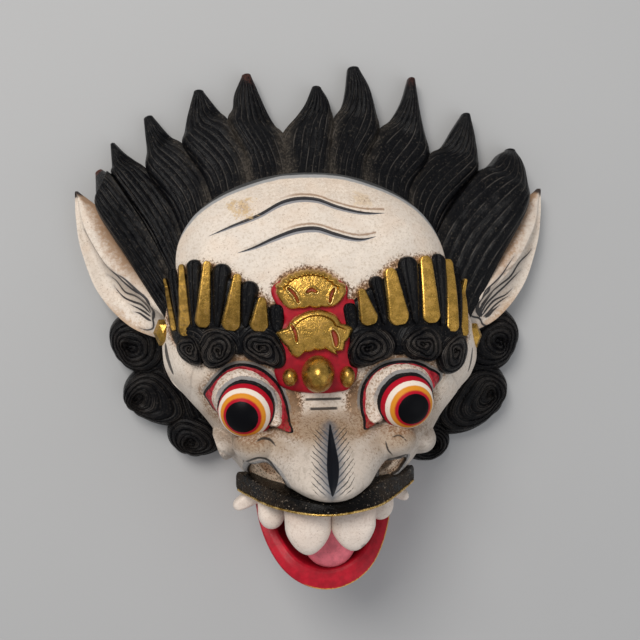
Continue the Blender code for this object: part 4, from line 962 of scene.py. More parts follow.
def ear_skin(side):
    """A leaf-shaped ear: its section runs from the hair up over a fold, down into a scooped
    bowl, up to a thin outer edge and back underneath."""
    at = np.linspace(0, 1, 150)
    inner, outer = along(EAR_INNER, at)[:, None], along(EAR_OUTER, at)[:, None]
    section = [EAR_FOLD, EAR_RIM_HEIGHT, EAR_BOWL_DEPTH, EAR_EDGE_HEIGHT, EAR_BACK_HEIGHT]
    fold, rim, bowl, edge, back = along(np.transpose(section), at).T[..., None]
    c = np.linspace(0, 1, 91)[None, :]
    before = np.clip(c / fold, 0, 1)
    past = np.clip((c - fold) / (1 - fold), 0, 1)
    hump = rim - 6 * (1 - before) ** 2 - 1.5 * before**4
    scoop = rim - 1.5 + (edge - rim + 1.5) * past - bowl * np.sin(math.pi * past**0.62) ** 1.2
    height = np.where(c < fold, hump, scoop)
    height = height + 0.15 * wobble(c * 30, at[:, None] * 90, 11.0, 0.4)
    place = inner + (outer - inner) * c[..., None]
    x, y = place[..., 0], place[..., 1]
    height = height + 2.2 * bell(np.hypot(x - EAR_KNOT[0], y - EAR_KNOT[1]), 1.6)
    under = np.array([0.96, 0.7, 0.45, 0.2, 0.03])
    below = inner + (outer - inner) * under[None, :, None]
    lift = back + np.array([2.5, 0, 0, 0, 2.0])
    grid = np.concatenate([np.dstack([place, height]), np.dstack([below, lift])], axis=1)
    hairs = RIGHT_EAR_HAIRS if side > 0 else EAR_HAIRS
    ink = np.max([stroke(x, y, *hair, leaning=0.35) for hair in hairs], axis=0)
    away = line_distance(x, y, along(EAR_FOLD_LINE, np.linspace(0, 1, 20)))
    if side > 0:
        grid[..., 0] = EAR_MIRROR - grid[..., 0]
    return shell(grid, along=at[:, None], across=np.concatenate([c[0], under]),
                 ink=filled(ink, grid.shape[:2], -9), fold=filled(away, grid.shape[:2], 30))


def eye_skin(across, up, level, radius, rightward, downward):
    """An eyeball, its rows round the line of its gaze, so each keeps one angle from it."""
    down, aside = math.radians(downward), math.radians(rightward)
    ahead = unit(np.array([math.sin(aside), -math.sin(down), 1.0]))
    right = unit(np.cross((0.0, 1.0, 0.0), ahead))
    ways, polar = ball(90, 120, 0.004, 0.995)
    grid = np.array([across, up, level]) + ways @ np.array([right, np.cross(ahead, right), ahead]) * radius
    return shell(grid, gaze=np.degrees(polar))


def lid_skin(number):
    """The lids round one eye: rings from the ball out to an almond outline, falling from the
    ball's face to the skin, with a step at the edge of each painted band."""
    across, up, level, radius = EYES[number][:4]
    turns = turns_round(300)
    seen = (180 - np.degrees(turns) if number == 1 else np.degrees(turns)) % 360
    seen = np.where(seen > 270, seen - 360, seen)
    inner, red, outer = (reach_through(lines[number], (across, up), turns, 3)
                         for lines in (LID_INNER, LID_RED, LID_OUTLINE))
    inner = np.minimum(inner, radius - 0.6)
    red = np.maximum(red, inner + 0.5)
    outer = np.maximum(outer, red + 0.3)
    v = np.linspace(0, 1, 70)[:, None]
    reach = inner + (outer - inner) * v
    x, y = across + reach * np.cos(turns), up + reach * np.sin(turns)
    skin = skin_height(x, y)
    rim = level + np.sqrt(radius**2 - inner**2) + 0.5
    strength = knot_curve(LID_STRENGTH, seen)
    fall = (1 - v) ** 1.25
    from_ball, from_red = reach - inner, reach - red
    foot = skin[-1] + 0.9
    height = foot + (rim - foot) * fall
    height = height + 0.7 * bell(from_red + 1.6, 1.3) - 0.6 * bell(from_red, 0.6)
    height = height + 0.8 * bell(from_red - 1.6, 1.2)
    height = height - 0.7 * bell(from_ball - 0.9, 0.6) - 0.7 * bell(reach - outer, 0.7)
    knot = np.hypot(x - LID_KNOTS[number][0], y - LID_KNOTS[number][1])
    height = height - 1.0 * bell(knot - 1.6, 0.5)
    height = np.where(strength > 0.999, height, skin - 3 + strength * (height - skin + 3))
    ring = np.dstack([x, y, height])
    tucked = ring[:1].copy()
    tucked[..., :2] = (across, up) + (tucked[..., :2] - (across, up)) * 0.86
    grid = np.concatenate([tucked, ring, ring[-1:] - (0, 0, 8)])
    marks = {"from_ball": from_ball, "from_red": from_red, "from_out": outer - reach}
    marks = {name: np.concatenate([f[:1], f, f[-1:]]) for name, f in marks.items()}
    return shell(grid, upper_side=ramp(seen, -20, 25) * (1 - ramp(seen, 150, 180)), **marks)


def tooth_skin(top, foot, top_width, foot_width, depth, square=2.5, taper=2.05, blunt=0.5):
    """A tooth: a rounded box in section along a line from the gum to the biting end, where it
    narrows by one less the share of that end to a power, to a second power."""
    share, middle, ahead, length = up_line(top, foot, 60, 0.02, 1)
    width = foot_width + (top_width - foot_width) * share
    end = np.clip(1 - 2.0 * share * length / width / TOOTH_POINT, 0, 1)
    full = np.clip(1 - end**taper, 0.0, 1) ** blunt + 0.01
    aside = unit(np.cross(ahead, (0, 0, 1.0)))
    outward = np.cross(aside, ahead)
    ways = ways_of(turns_round(72)).T
    flat, thick = np.sign(ways) * np.abs(ways) ** (2 / square)
    grid = (middle[:, None] + aside * (flat * (width * full)[:, None] / 2)[..., None]
            + outward * (thick * (depth * full**0.8)[:, None])[..., None])
    grid = grid + 0.12 * wobble(grid[..., 0], grid[..., 1], 7.0, 0.9)[..., None] * outward
    return shell(grid, along=share[:, None])


def lip_skin():
    """The upper lip's band: at each place across, a section from its upper line out over a
    soft roll to its lower line, and back into the gum."""
    x = np.linspace(LIP_TOP[0][0], LIP_TOP[-1][0], 220)
    top, bottom, level = knot_curve(LIP_TOP, x), knot_curve(LIP_BOTTOM, x), knot_curve(LIP_HEIGHT, x)
    heading = unit(np.column_stack([np.ones(len(x)), np.gradient(level, x)]))
    out_x, out_z = -heading[:, 1], heading[:, 0]
    v = np.linspace(0, 1, 25)
    roll = 4.6 * v**0.7 - 0.6 - 0.8 * np.sin(math.pi * v)
    v_all = np.concatenate([v, [0.97, 0.5, 0.08]])
    roll = np.concatenate([roll, [1.0, -26, -8]])
    ends = np.sqrt(np.clip(1 - (np.abs(x - LIP_MIDDLE) / LIP_HALF) ** 60, 0.01, 1))[:, None]
    y = top[:, None] + (bottom - top)[:, None] * (0.5 + (v_all - 0.5) * (0.3 + 0.7 * ends))
    roll = roll * np.where(roll > 0, ends * (1 - 0.85 * ramp(np.abs(x - LIP_MIDDLE), 26, 50))[:, None], 1)
    grid = np.dstack([x[:, None] + out_x[:, None] * roll, y, level[:, None] + out_z[:, None] * roll])
    return shell(grid, across=v_all), grid[:, len(v) - 1]


def tube_skin(line, radius):
    """A round bead along a line: circles square to it, and closed ends."""
    ahead = unit(np.gradient(line, axis=0))
    aside = unit(np.cross(ahead, (0, 1.0, 0)))
    above = np.cross(aside, ahead)
    turn = turns_round(14)[None, :, None]
    circles = np.cos(turn) * aside[:, None] + np.sin(turn) * above[:, None]
    return shell(line[:, None] + radius * circles, across=0.9, slot=NO_SLOT)


def jaw_skin():
    """The lower jaw: an oval scoop, its section rising from the mouth's floor up the inner
    wall, over a thick rim and down the outside to the back."""
    turns = turns_round(200)
    outer, inner, back = (JAW_POLE + ways_of(turns) * size for size in (JAW_OUTER, JAW_INNER, JAW_BACK))
    rim = knot_curve(JAW_RIM_HEIGHT, outer[:, 1])
    stops = [  # each from one oval a share of the way to another, and its height
        (JAW_POLE, inner, 0.1, MOUTH_FLOOR), (JAW_POLE, inner, 0.6, MOUTH_FLOOR),
        (JAW_POLE, inner, 0.86, MOUTH_FLOOR + 3), (JAW_POLE, inner, 0.97, rim - 9),
        (inner, outer, 0, rim - 1), (inner, outer, 0.12, rim), (inner, outer, 0.5, rim + 0.8),
        (inner, outer, 0.93, rim + 0.6), (inner, outer, 1, rim - 1.2), (JAW_POLE, outer, 0.99, rim - 12),
        (outer, back, 0.5, 26), (outer, back, 1, 0.5), (JAW_POLE, back, 0.2, 0.5),
    ]
    knots = np.array([np.column_stack([near + (far - near) * share, np.broadcast_to(level, len(turns))])
                      for near, far, share, level in stops])
    steps = np.linspace(0, len(stops) - 1, 6 * (len(stops) - 1) + 1)
    low = np.minimum(steps.astype(int), len(stops) - 2)
    share = (steps - low)[:, None, None]
    return shell(knots[low] * (1 - share) + knots[low + 1] * share, section=steps[:, None])


def bed_skin(top, foot, half_wide, height):
    """A bed of long strands between two places: a rounded bar with grooves along it that
    spread a little towards its middle."""
    s, middle, ahead, length = up_line(top, foot, 70)
    full = rounded_end(np.minimum(s, 1 - s) * length / half_wide)[:, None]
    u = np.linspace(-1, 1, 81)
    phase = 7 * u[None, :] + 0.2 * np.sin(s * 5)[:, None]
    ridge = np.abs(np.sin(math.pi * phase)) ** 0.6
    lift = height * full * np.sqrt(np.clip(1 - np.abs(u) ** 5, 0.05, 1)) - 0.9 * (1 - ridge)
    across = np.concatenate([u, [0.9, 0, -0.9]])
    aside = np.array([ahead[1], -ahead[0]])
    place = middle[:, None] + aside * (half_wide * full * across)[..., None]
    shape = place.shape[:2]
    grid = np.dstack([place, filled(np.maximum(lift, 0.4), shape, BACK_GAP)])
    return shell(grid, groove=filled(ridge, shape, 1), phase=edge_kept(phase, shape), dish=0.3,
                 flow=6 * s[:, None], worn=0)


def ground_skin(outline, centre, rise, eyes=((0, 500),)):
    """A low ground under carving: level inside an outline but for a rounded edge. Round each
    curl's eye it swells, with grooves where the distance to the eye makes whole steps."""
    turns = turns_round(240)
    reach = reach_through(outline, centre, turns, 3)
    shares = np.linspace(0, 1, 61)[1:]
    place = np.array(centre) + ways_of(turns) * (reach * shares[:, None])[..., None]
    away = np.min([np.hypot(*(place - eye).transpose(2, 0, 1)) for eye in eyes], axis=0)
    near = ramp(-away, -17, -10) * ramp(-place[..., 1], 6, 11)
    ridge = 1 - near * (1 - np.abs(np.sin(away * math.pi / 2.4)) ** 0.6)
    rises = (rise * (1 + near) - 0.8 * (1 - ridge)) * np.sqrt(np.clip(1 - shares[:, None] ** 16, 0.02, 1))
    return relief_skin(centre, turns, reach, shares, rises, groove=ridge, phase=0, dish=0.4, flow=0, worn=0)


def fan_skin(outline, centre, rise, scallops):
    """A fan of gilded carving inside an outline: a raised rim round its upper edge, scalloped
    or plain, a gently domed face, and slots cut into it."""
    turns = turns_round(420)
    shares = np.linspace(0, 1, 81)[1:]
    edge = shares[:, None]
    upper = ramp(np.sin(turns), -0.05, 0.2)
    reach = reach_through(outline, centre, turns, 3)
    waves = np.cos(turns * scallops * 2) * upper * (scallops > 0)
    reach = reach * (1 + 0.022 * waves)
    x = centre[0] + reach * edge * np.cos(turns)
    y = centre[1] + reach * edge * np.sin(turns)
    rises = rise - 1.2 * edge**2 + 0.9 * ramp(edge, 0.74, 0.8) * upper
    rises = (rises + 0.45 * waves * ramp(edge, 0.76, 0.84)) * np.sqrt(np.clip(1 - edge**18, 0.02, 1))
    rises = rises - 0.5 * bell(edge - 0.75, 0.02) * upper
    slots = np.max([stroke(x, y, *slot) for slot in FAN_SLOTS], axis=0)
    rises = rises - 1.3 * ramp(slots, -0.5, 0.5) + 0.5 * bell(slots + 0.9, 0.5)
    lit = np.maximum(bell(edge - 0.97, 0.03), bell(slots + 0.8, 0.5))
    return relief_skin(centre, turns, reach, shares, rises, across=lit, slot=slots)


# ---------------------------------------------------------------- paints and finishes

BRUSH_BLACK = (0.012, 0.012, 0.015)
FOREHEAD_STAINS = [((-43, 57, 60), 8, 0.75), ((25, 60, 58), 6.5, 0.4)]  # middle, reach and strength
SLIT_HAIR_STEP = 2.6  # from one brushed hair beside the nose slit to the next
TOOTH_CHIP = (17.6, -124.2, 106.5)


def tone(base, share, shift=(0.0, 0.0, 0.0)):
    """A colour made lighter or darker, and shifted."""
    return tuple(max(part * share + more, 0.0) for part, more in zip(base, shift))


def aged_white(coat, colours):
    """White paint gone uneven: broad warmer and cooler clouds, brush marks, fine speckle, warmer
    patches and rare dark specks."""
    white = colours.white
    broad, patchy = coat.noise(30.0, 4, 0.62, warp=0.8), coat.noise(14.0, 2, 0.5)
    fine, specks = coat.noise(1.5, 4, 0.75), coat.noise(1.0, 2, 0.5)
    brushed = coat.noise(1.4, 3, 0.6, stretch=(0.14, 1.0, 1.0))
    return coat.layers(
        coat.mix(coat.ramp(broad, 0.34, 0.66), tone(white, 0.92, (-0.01, 0, 0.01)), tone(white, 1.03)),
        (coat.ramp(brushed, 0.5, 0.72) * 0.3, tone(white, 0.74, (0.02, 0, -0.02))),
        (coat.ramp(fine, 0.48, 0.64) * 0.6, tone(white, 0.6, (0.03, 0, -0.03))),
        (coat.ramp(patchy, 0.45, 0.7) * 0.35, tone(white, 0.8, (0.06, -0.01, -0.05))),
        (coat.ramp(specks, 0.65, 0.73) * coat.ramp(patchy, 0.38, 0.6) * 0.7, tone(colours.grime, 0.6)))


def wrinkle_layers(coat, name, ragged, grime):
    """A painted wrinkle: a blue-grey shade under its line, brown dirt over it and the black
    line itself, as wide as the face's mark says."""
    off, width = coat.mark(name), coat.mark(name + "_width")
    inside = coat.ramp(width, 0.0, 0.1)
    shade = coat.ramp(width * 2.7 + off + ragged * 0.5, 0.0, 0.45) * coat.ramp(off, 0.3, -0.1) * inside
    above = coat.ramp(abs(off - 2.3) + ragged * 1.6, 1.0, 0.2) * inside * coat.ramp(coat.x, -28.0, -8.0)
    line = coat.ramp(width * 1.05 + ragged * 0.3 - abs(off + 0.1), -0.06, 0.12) * inside
    return (shade * 0.85, (0.19, 0.20, 0.23)), (above * 0.75, tone(grime, 0.8)), (line * 0.95, BRUSH_BLACK)


def face_paint(colours):
    """The face: aged white with the painted wrinkles, slit and brush strokes, and the dirt that
    has gathered beside the brows and the eyes. The back and the hollow stay bare wood."""
    coat = Coat("face_white")
    white, grime = colours.white, colours.grime
    ragged, smear = coat.noise(2.6, 5, 0.75) - 0.5, coat.noise(9.0, 4, 0.6) - 0.5
    pores = coat.noise(1.3, 3, 0.8) - 0.5
    laid, wash, lid, slit, pit, edge, bare = (
        coat.mark(name) for name in ("dirt", "wash", "lid", "slit", "pit", "edge", "bare"))

    # Dirt, dots and stains on the skin, darker lines along the creases, the greyer snout, the ring round each
    # eye and a grey band of painted shade just above each eye.
    speckle = pores * 1.5 * coat.ramp(laid, 0.05, 0.4)
    dirt = coat.ramp(laid * 0.95 + ragged * 0.9 + smear * 0.5 + speckle, 0.32, 0.95)
    light, dark = tone(grime, 1.45, (0.05, 0.02, -0.01)), tone(grime, 0.6)
    deep = coat.mix(coat.ramp(ragged + pores, -0.12, 0.18), light, dark)
    dots = coat.ramp(pores + laid * 0.22, 0.12, 0.24) * coat.ramp(laid + smear * 0.5, 0.02, 0.3)
    beige = coat.ramp(coat.y + smear * 50 + coat.x * 0.15, 38.0, 74.0) * coat.ramp(pores + ragged, -0.25, 0.2)
    crease = coat.ramp(coat.mark("crease") + ragged * 0.8, 0.9, 0.1)
    lower = coat.ramp(coat.y + smear * 14, -52.0, -72.0)
    clouds = coat.ramp(coat.noise(4.0, 4, 0.65, warp=0.8), 0.5, 0.68)
    smudge = clouds * coat.ramp(coat.y + smear * 10, -50.0, -66.0)
    specks = coat.ramp(pores + wash * 0.2, 0.16, 0.3) * coat.ramp(wash, 0.05, 0.5)
    ring = coat.ramp(lid + ragged * 3.0, 6.5, 2.0) * coat.ramp(pores + smear * 0.5, -0.08, 0.1)
    above_eye = coat.ramp(coat.y - abs(coat.x) * 0.2 + 62.0, 0.0, 6.0)
    skin = coat.layers(
        aged_white(coat, colours),
        (dirt * 0.9, deep),
        (dots * 0.85, tone(grime, 0.36)),
        (beige * 0.5, (0.52, 0.40, 0.30)),
        (crease * 0.35, (0.25, 0.20, 0.17)),
        (lower * 0.6, tone(white, 0.58, (0.0, 0.0, 0.01))),
        (smudge * 0.5, tone(white, 0.42, (0.01, 0.0, -0.01))),
        (coat.ramp(wash + smear * 0.6 + ragged * 0.2, 0.0, 1.1) * 0.95, (0.32, 0.225, 0.145)),
        (specks * 0.6, tone(grime, 0.5)),
        (coat.ramp(lid + smear * 8, 8.0, 1.0) * 0.4, (0.42, 0.31, 0.21)),
        (ring * 0.85, tone(grime, 0.75)),
        # a grey band just outside the upper part of each eye's outline: painted shade
        (coat.ramp(lid + ragged * 1.2, 1.8, 1.0) * above_eye * 0.85, (0.20, 0.19, 0.18)))
    for name in ("upper", "lower"):
        skin = coat.layers(skin, *wrinkle_layers(coat, name, ragged, grime))
    for place, wide, share in FOREHEAD_STAINS:
        away = coat.away(place) + smear * 24 + ragged * 14 + pores * 8
        stained = coat.mix(coat.ramp(ragged, -0.05, 0.1), (0.56, 0.38, 0.18), (0.30, 0.17, 0.08))
        skin = coat.mix(coat.ramp(away, wide, wide * 0.45) * share, skin, stained)

    # The brushwork: the bridge's lines, hairs beside the slit, the nostrils and the strokes.
    for line, half in BRIDGE_LINES:
        drawn = coat.ramp(abs(coat.y - line) + ragged * 0.5, 0.85, 0.5)
        drawn = drawn * coat.ramp(abs(coat.x + 0.8), half, half - 1.5)
        skin = coat.mix(drawn * 0.9, skin, (0.02, 0.016, 0.015))
    aside = abs(coat.x - (coat.y + 90.5) * 0.084 + 1.0)
    comb = coat.wave((coat.y - aside * (0.8 + smear * 0.35)) * (TURN / SLIT_HAIR_STEP)) + ragged * 0.9
    hairs = coat.ramp(comb - aside * 0.045, 0.3, 0.6) * coat.ramp(slit + ragged * 9, -9.0, -7.0)
    hairs = hairs * coat.ramp(abs(coat.y + 76.5), 15.0, 12.0)
    # the nostril pits' lining: brown paint and a light cream, the cream lifted as painted light inside the
    # shaded pits
    lining = coat.mix(coat.ramp(ragged + pores * 1.4, 0.0, 0.22), (0.92, 0.72, 0.54), (0.24, 0.12, 0.055))
    rolled = coat.mix(coat.ramp(pores, -0.05, 0.15), (0.17, 0.17, 0.175), (0.42, 0.40, 0.38))
    skin = coat.layers(
        skin,
        (hairs * 0.92, (0.016, 0.016, 0.018)),
        (coat.ramp(slit + ragged * 2.2 - coat.x * 0.12, -6.5, 0.5) * 0.8, (0.10, 0.11, 0.13)),
        (coat.ramp(slit, -0.2, 0.2), (0.002, 0.003, 0.006)),
        (coat.ramp(pit + ragged * 0.6, -0.2, 0.5), lining),
        (coat.ramp(abs(pit + 1.8) + ragged * 1.2, 1.7, 1.1) * 0.8, rolled),
        (coat.ramp(abs(pit - 0.1) + ragged * 0.8, 0.9, 0.4) * 0.92, (0.02, 0.016, 0.014)),
        (coat.ramp(coat.mark("ink") + ragged * 0.5, -0.25, 0.2) * 0.9, (0.02, 0.018, 0.018)),
        (coat.ramp(edge + ragged * 0.9, 3.0, 2.1) * coat.ramp(coat.y, 8.0, 22.0) * 0.8, (0.24, 0.26, 0.28)),
        (coat.ramp(edge + ragged * 0.5, 0.7, 0.3) * 0.9, (0.03, 0.03, 0.03)))

    grain = coat.noise(2.4, 4, 0.6, stretch=(1.0, 0.12, 1.0), warp=0.6)
    wood = coat.mix(coat.ramp(grain, 0.35, 0.65), tone(colours.wood, 0.72), tone(colours.wood, 1.15))
    coat.bump(coat.noise(1.3, 3, 0.6) * 0.6 + coat.noise(5.0, 4, 0.6) + bare * grain * 2, 0.6, 0.4)
    roughness = 0.46 + dirt * 0.3 + bare * 0.25 + ragged * 0.12
    return coat.finish(coat.mix(bare, skin, wood), roughness, Specular_IOR_Level=0.16)


def hair_paint(colours, name="hair_black", gloss=0.3, dusty=1.0, light=1.0, ridge_highlight=0.0):
    """Black hair: dust lies in the dishes and streaks along the strands, worn tips show the
    wood's brown, and the last argument says how far the crests of its strands are painted lighter, a painted
    highlight."""
    coat = Coat(name)
    dust = colours.dust
    groove, phase, dish, flow, worn = (coat.mark(m) for m in ("groove", "phase", "dish", "flow", "worn"))
    place = coat.node("ShaderNodeCombineXYZ", {}, {0: phase * 3.2, 1: flow * 0.55}).outputs[0]
    streak = coat.noise(1 / 2.1, 6.0, 0.7, place=place)
    cloud, fine = coat.noise(12.0, 4, 0.6), coat.noise(1.4, 4, 0.7)
    lying = coat.ramp(streak * 0.7 + cloud * 0.7 + dish * 0.72, 0.92, 1.7) * dusty
    strands = coat.ramp(abs(coat.wave(phase * (1.25 * TURN))) + (fine - 0.5) * 0.6, 0.3, 1.0)
    depth = groove + (fine - 0.5) * 0.5
    # the crests of the strands painted lighter: a painted highlight
    lit_tops = coat.ramp(depth, 0.7, 1.0) * coat.ramp(cloud + streak * 0.8, 0.7, 1.1) * ridge_highlight
    lines = coat.ramp(depth, 0.6, 0.25) * coat.ramp(cloud + streak * 0.9, 0.82, 1.12)
    lines = lines * (dusty * (1 - 0.7 * ridge_highlight))
    between = coat.ramp(abs(coat.wave(phase * TURN)) + (fine - 0.5) * 0.7, 0.26, 0.05)
    base = coat.layers(
        colours.black,
        (lying * 0.9, tone(dust, 0.88)),
        (lit_tops * strands * 0.85, tone(dust, 2.8, (0.0, 0.0, 0.003))),
        (lines * 0.8, tone(dust, 2.9 * light, (-0.003, 0.002, 0.008))),
        (between * coat.ramp(streak, 0.52, 0.66) * dusty * 0.3, tone(dust, 2.3, (0.0, 0.004, 0.008))),
        (coat.ramp(fine + lying * 0.16, 0.58, 0.68) * dusty * 0.6, tone(dust, 2.6)),
        (coat.ramp(worn * 1.1 + (fine - 0.5) * 1.2, 0.45, 0.95) * 0.8, (0.10, 0.032, 0.02)))
    coat.bump(streak * 1.4 + fine * 1.1, 0.5, 0.4)
    return coat.finish(base, lying * 0.35 + (fine - 0.5) * 0.25 + gloss, Specular_IOR_Level=0.1)


def gold_leaf(colours, name, shade, hammered, darker_left=0.0):
    """Gold leaf on a carved ground: its edges are painted brighter, a painted highlight, and hollows hold
    brown dirt. Its shade is how light it is, set lower on the plumes and higher on the fans and bosses,
    partly as painted shade and light; hammered is how uneven it is, and the last argument how much it darkens
    on the left: towards the foot, and at the far left as painted shade."""
    coat = Coat(name)
    gold = colours.gold
    cloud, fine = coat.noise(5.0, 4, 0.65), coat.noise(0.9, 3, 0.7)
    # the edges painted brighter: a painted highlight
    edge = coat.ramp(abs(coat.mark("across")) + (fine - 0.5) * 0.3, 0.84, 0.97) * coat.ramp(cloud, 0.38, 0.52)
    dirty = coat.ramp(fine + (cloud - 0.5) * 0.7, 0.46, 0.72)
    foot = coat.ramp(coat.y + (cloud - 0.5) * 10, 16.0, -8.0) * coat.ramp(coat.x, -10.0, -40.0) * darker_left
    # darker at the far left: painted shade
    far_left_shade = coat.ramp(coat.x + (cloud - 0.5) * 6, -66.0, -73.0) * darker_left
    slot = coat.ramp(coat.mark("slot") + (fine - 0.5) * 0.8, -0.1, 0.3)
    body = coat.layers(
        coat.mix(coat.ramp(cloud, 0.3, 0.7), tone(gold, 0.36 * shade), tone(gold, 0.66 * shade)),
        (dirty * 0.65, tone((0.10, 0.048, 0.010), shade)),
        (coat.ramp(coat.noise(0.8, 2, 0.5), 0.6, 0.7) * 0.5, tone(gold, 1.1, (0.05, 0.08, 0.06))),
        (edge * 0.9, tone(gold, 1.2, (0.06, 0.16, 0.16))),
        # lighter towards the right: painted light
        (coat.ramp(coat.x, 28.0, 40.0) * 0.25, tone(gold, 1.1)),
        (foot * 0.45, tone((0.16, 0.085, 0.018), shade)),
        (far_left_shade * 0.92, coat.mix(coat.ramp(cloud, 0.4, 0.6), tone(gold, 0.09), tone(gold, 0.26))),
        (slot * 0.85, tone(colours.red, 0.6)))
    coat.bump(cloud * 1.6 + fine * 0.5, 0.7, 0.4 * hammered)
    metal = (1 - slot) * (0.95 - dirty * 0.45)
    return coat.finish(body, dirty * 0.25 - edge * 0.08 + far_left_shade * 0.14 + 0.27, Metallic=metal)


def red_paint(colours, name, base, gold_edge=False):
    """Red paint: clouded, darker where it has caught dirt, worn a little. With a gold edge it is the
    jaw's: darker inside as painted shade, darker down its outer wall, with a gilded strip at its right, and
    bare wood behind."""
    coat = Coat(name)
    cloud, fine = coat.noise(7.0, 4, 0.6), coat.noise(1.2, 4, 0.7)
    body = coat.mix(coat.ramp(cloud, 0.35, 0.7), tone(base, 0.72), tone(base, 1.1))
    body = coat.mix(coat.ramp(fine, 0.6, 0.76) * 0.6, body, tone(colours.grime, 0.3))
    if gold_edge:
        section = coat.mark("section")
        strip = coat.ramp(abs(section - 7.1) + (fine - 0.5) * 0.3, 0.24, 0.14)
        body = coat.layers(
            body,
            # darker inside the mouth: painted shade
            (coat.ramp(section, 4.1, 3.3) * 0.7, tone(base, 0.35)),
            (strip * coat.ramp(coat.x * 0.9 - coat.y * 0.5, 62.0, 72.0), tone(colours.gold, 0.95)),
            (coat.ramp(section + (cloud - 0.5) * 0.8, 8.6, 10.8) * 0.7, tone(base, 0.4)),
            (coat.ramp(section, 10.75, 11.0), tone(colours.wood, 0.9)))
    coat.bump(cloud + fine * 0.5, 0.4, 0.4)
    return coat.finish(body, (fine - 0.5) * 0.25 + 0.42, Specular_IOR_Level=0.25)


def eye_paint(colours):
    """The eyes: rings round the line of the gaze, black, red, orange, white and red."""
    coat = Coat("eye_rings")
    gaze = coat.mark("gaze") + (coat.noise(2.0, 3, 0.6) - 0.5) * 2.0
    fine = coat.noise(1.5, 4, 0.7)
    red = tone(colours.red, 0.9)
    rings = [(32.4, 33.8, red), (37.5, 42.0, colours.orange), (48.5, 51.5, tone(colours.white, 1.02)),
             (60.5, 62.0, red), (73.0, 75.0, (0.010, 0.009, 0.010))]  # from one angle to another
    dirt = coat.ramp(fine, 0.6, 0.75) * coat.ramp(gaze, 45.0, 52.0)
    bands = [(coat.ramp(gaze, low, high), over) for low, high, over in rings]
    body = coat.layers((0.002, 0.002, 0.003), *bands, (dirt * 0.5, tone(colours.grime, 0.9)))
    coat.bump(coat.noise(2.5, 3, 0.5), 0.2, 0.3)
    return coat.finish(body, fine * 0.2 + 0.3, Specular_IOR_Level=0.08)


def lid_paint(colours):
    """The lids in painted bands from the ball out: black, grey (a painted shade, on the upper side only),
    white, red and a dark outline.
    """
    coat = Coat("eyelids")
    grime = colours.grime
    fine, cloud = coat.noise(1.4, 4, 0.7), coat.noise(4.0, 4, 0.65)
    ragged = (coat.noise(2.5, 4, 0.65) - 0.5) * 0.9
    from_ball, from_red, from_out = (
        coat.mark(name) + ragged for name in ("from_ball", "from_red", "from_out"))
    black = (0.008, 0.008, 0.010)
    white = tone(colours.white, 0.88, (0.0, -0.01, -0.01))
    speckled = coat.mix(coat.ramp(fine, 0.44, 0.64) * 0.75, white, tone(grime, 0.9))
    tail = coat.ramp(coat.y + (cloud - 0.5) * 8, -57.0, -64.0) * coat.ramp(fine, 0.42, 0.6)
    bright, deep = tone(colours.red, 0.85, (0.0, 0.02, 0.02)), tone(colours.red, 0.4)
    worn = coat.mix(coat.ramp(cloud, 0.4, 0.66), bright, deep)
    # where the lid meets the ball: grey on the upper side as painted shade under the lid, speckled white
    # below
    grey = coat.mix(coat.mark("upper_side") * 0.9, speckled, (0.24, 0.23, 0.23))
    body = coat.layers(
        black,
        (coat.ramp(from_ball, 0.6, 0.9), grey),
        (coat.ramp(from_ball, 2.3, 2.8), speckled),
        (coat.ramp(from_red, -0.2, 0.2), coat.mix(tail * 0.8, worn, tone(grime, 0.6))),
        (coat.ramp(from_out, 1.6, 1.25), black),
        (coat.ramp(fine, 0.56, 0.7) * 0.5, tone(grime, 0.5)))
    coat.bump(coat.noise(2.0, 4, 0.6), 0.5, 0.4)
    return coat.finish(body, 0.4, Specular_IOR_Level=0.12)


def ear_paint(colours):
    """The ears: aged white with fanned brush strokes in the bowl, brown dirt along the hair, a dark
    line of painted shade along the fold and a grey shade at the root."""
    coat = Coat("ear_white")
    ragged, grain = coat.noise(2.6, 5, 0.7) - 0.5, coat.noise(1.5, 4, 0.75) - 0.5
    at, across, ink = coat.mark("along"), coat.mark("across"), coat.mark("ink")
    stain = coat.ramp(across - at * 0.3 + ragged * 0.8 + grain * 0.6, 0.4, -0.1)
    stain = stain * coat.ramp(at + ragged * 0.1, 0.08, 0.4)
    outer = coat.ramp(across + ragged * 0.5 + grain * 0.4, 0.78, 1.0)
    outer = outer * coat.ramp(abs(at - 0.2) + ragged * 0.2, 0.22, 0.05)
    skin = coat.layers(
        aged_white(coat, colours),
        (stain * 0.85, (0.34, 0.18, 0.085)),
        (outer * 0.7, (0.46, 0.28, 0.15)),
        # a dark line along the fold: painted shade
        (coat.ramp(coat.mark("fold") + ragged * 1.5, 1.1, 0.1) * 0.5, (0.08, 0.06, 0.05)),
        (coat.ramp(at + ragged * 0.1, 0.16, 0.03) * 0.6, (0.07, 0.06, 0.06)),
        (coat.ramp(ink + ragged * 1.5, -2.0, 0.2) * 0.25, (0.13, 0.12, 0.13)),
        (coat.ramp(ink + ragged * 0.4, -0.2, 0.1) * 0.95, BRUSH_BLACK),
        (coat.ramp(at + ragged * 0.06, 0.94, 0.975), (0.05, 0.035, 0.03)))
    coat.bump(coat.noise(1.3, 3, 0.6) * 0.5 + coat.noise(6.0, 3, 0.5), 0.35, 0.35)
    return coat.finish(skin, stain * 0.25 + ragged * 0.12 + 0.44, Specular_IOR_Level=0.28)


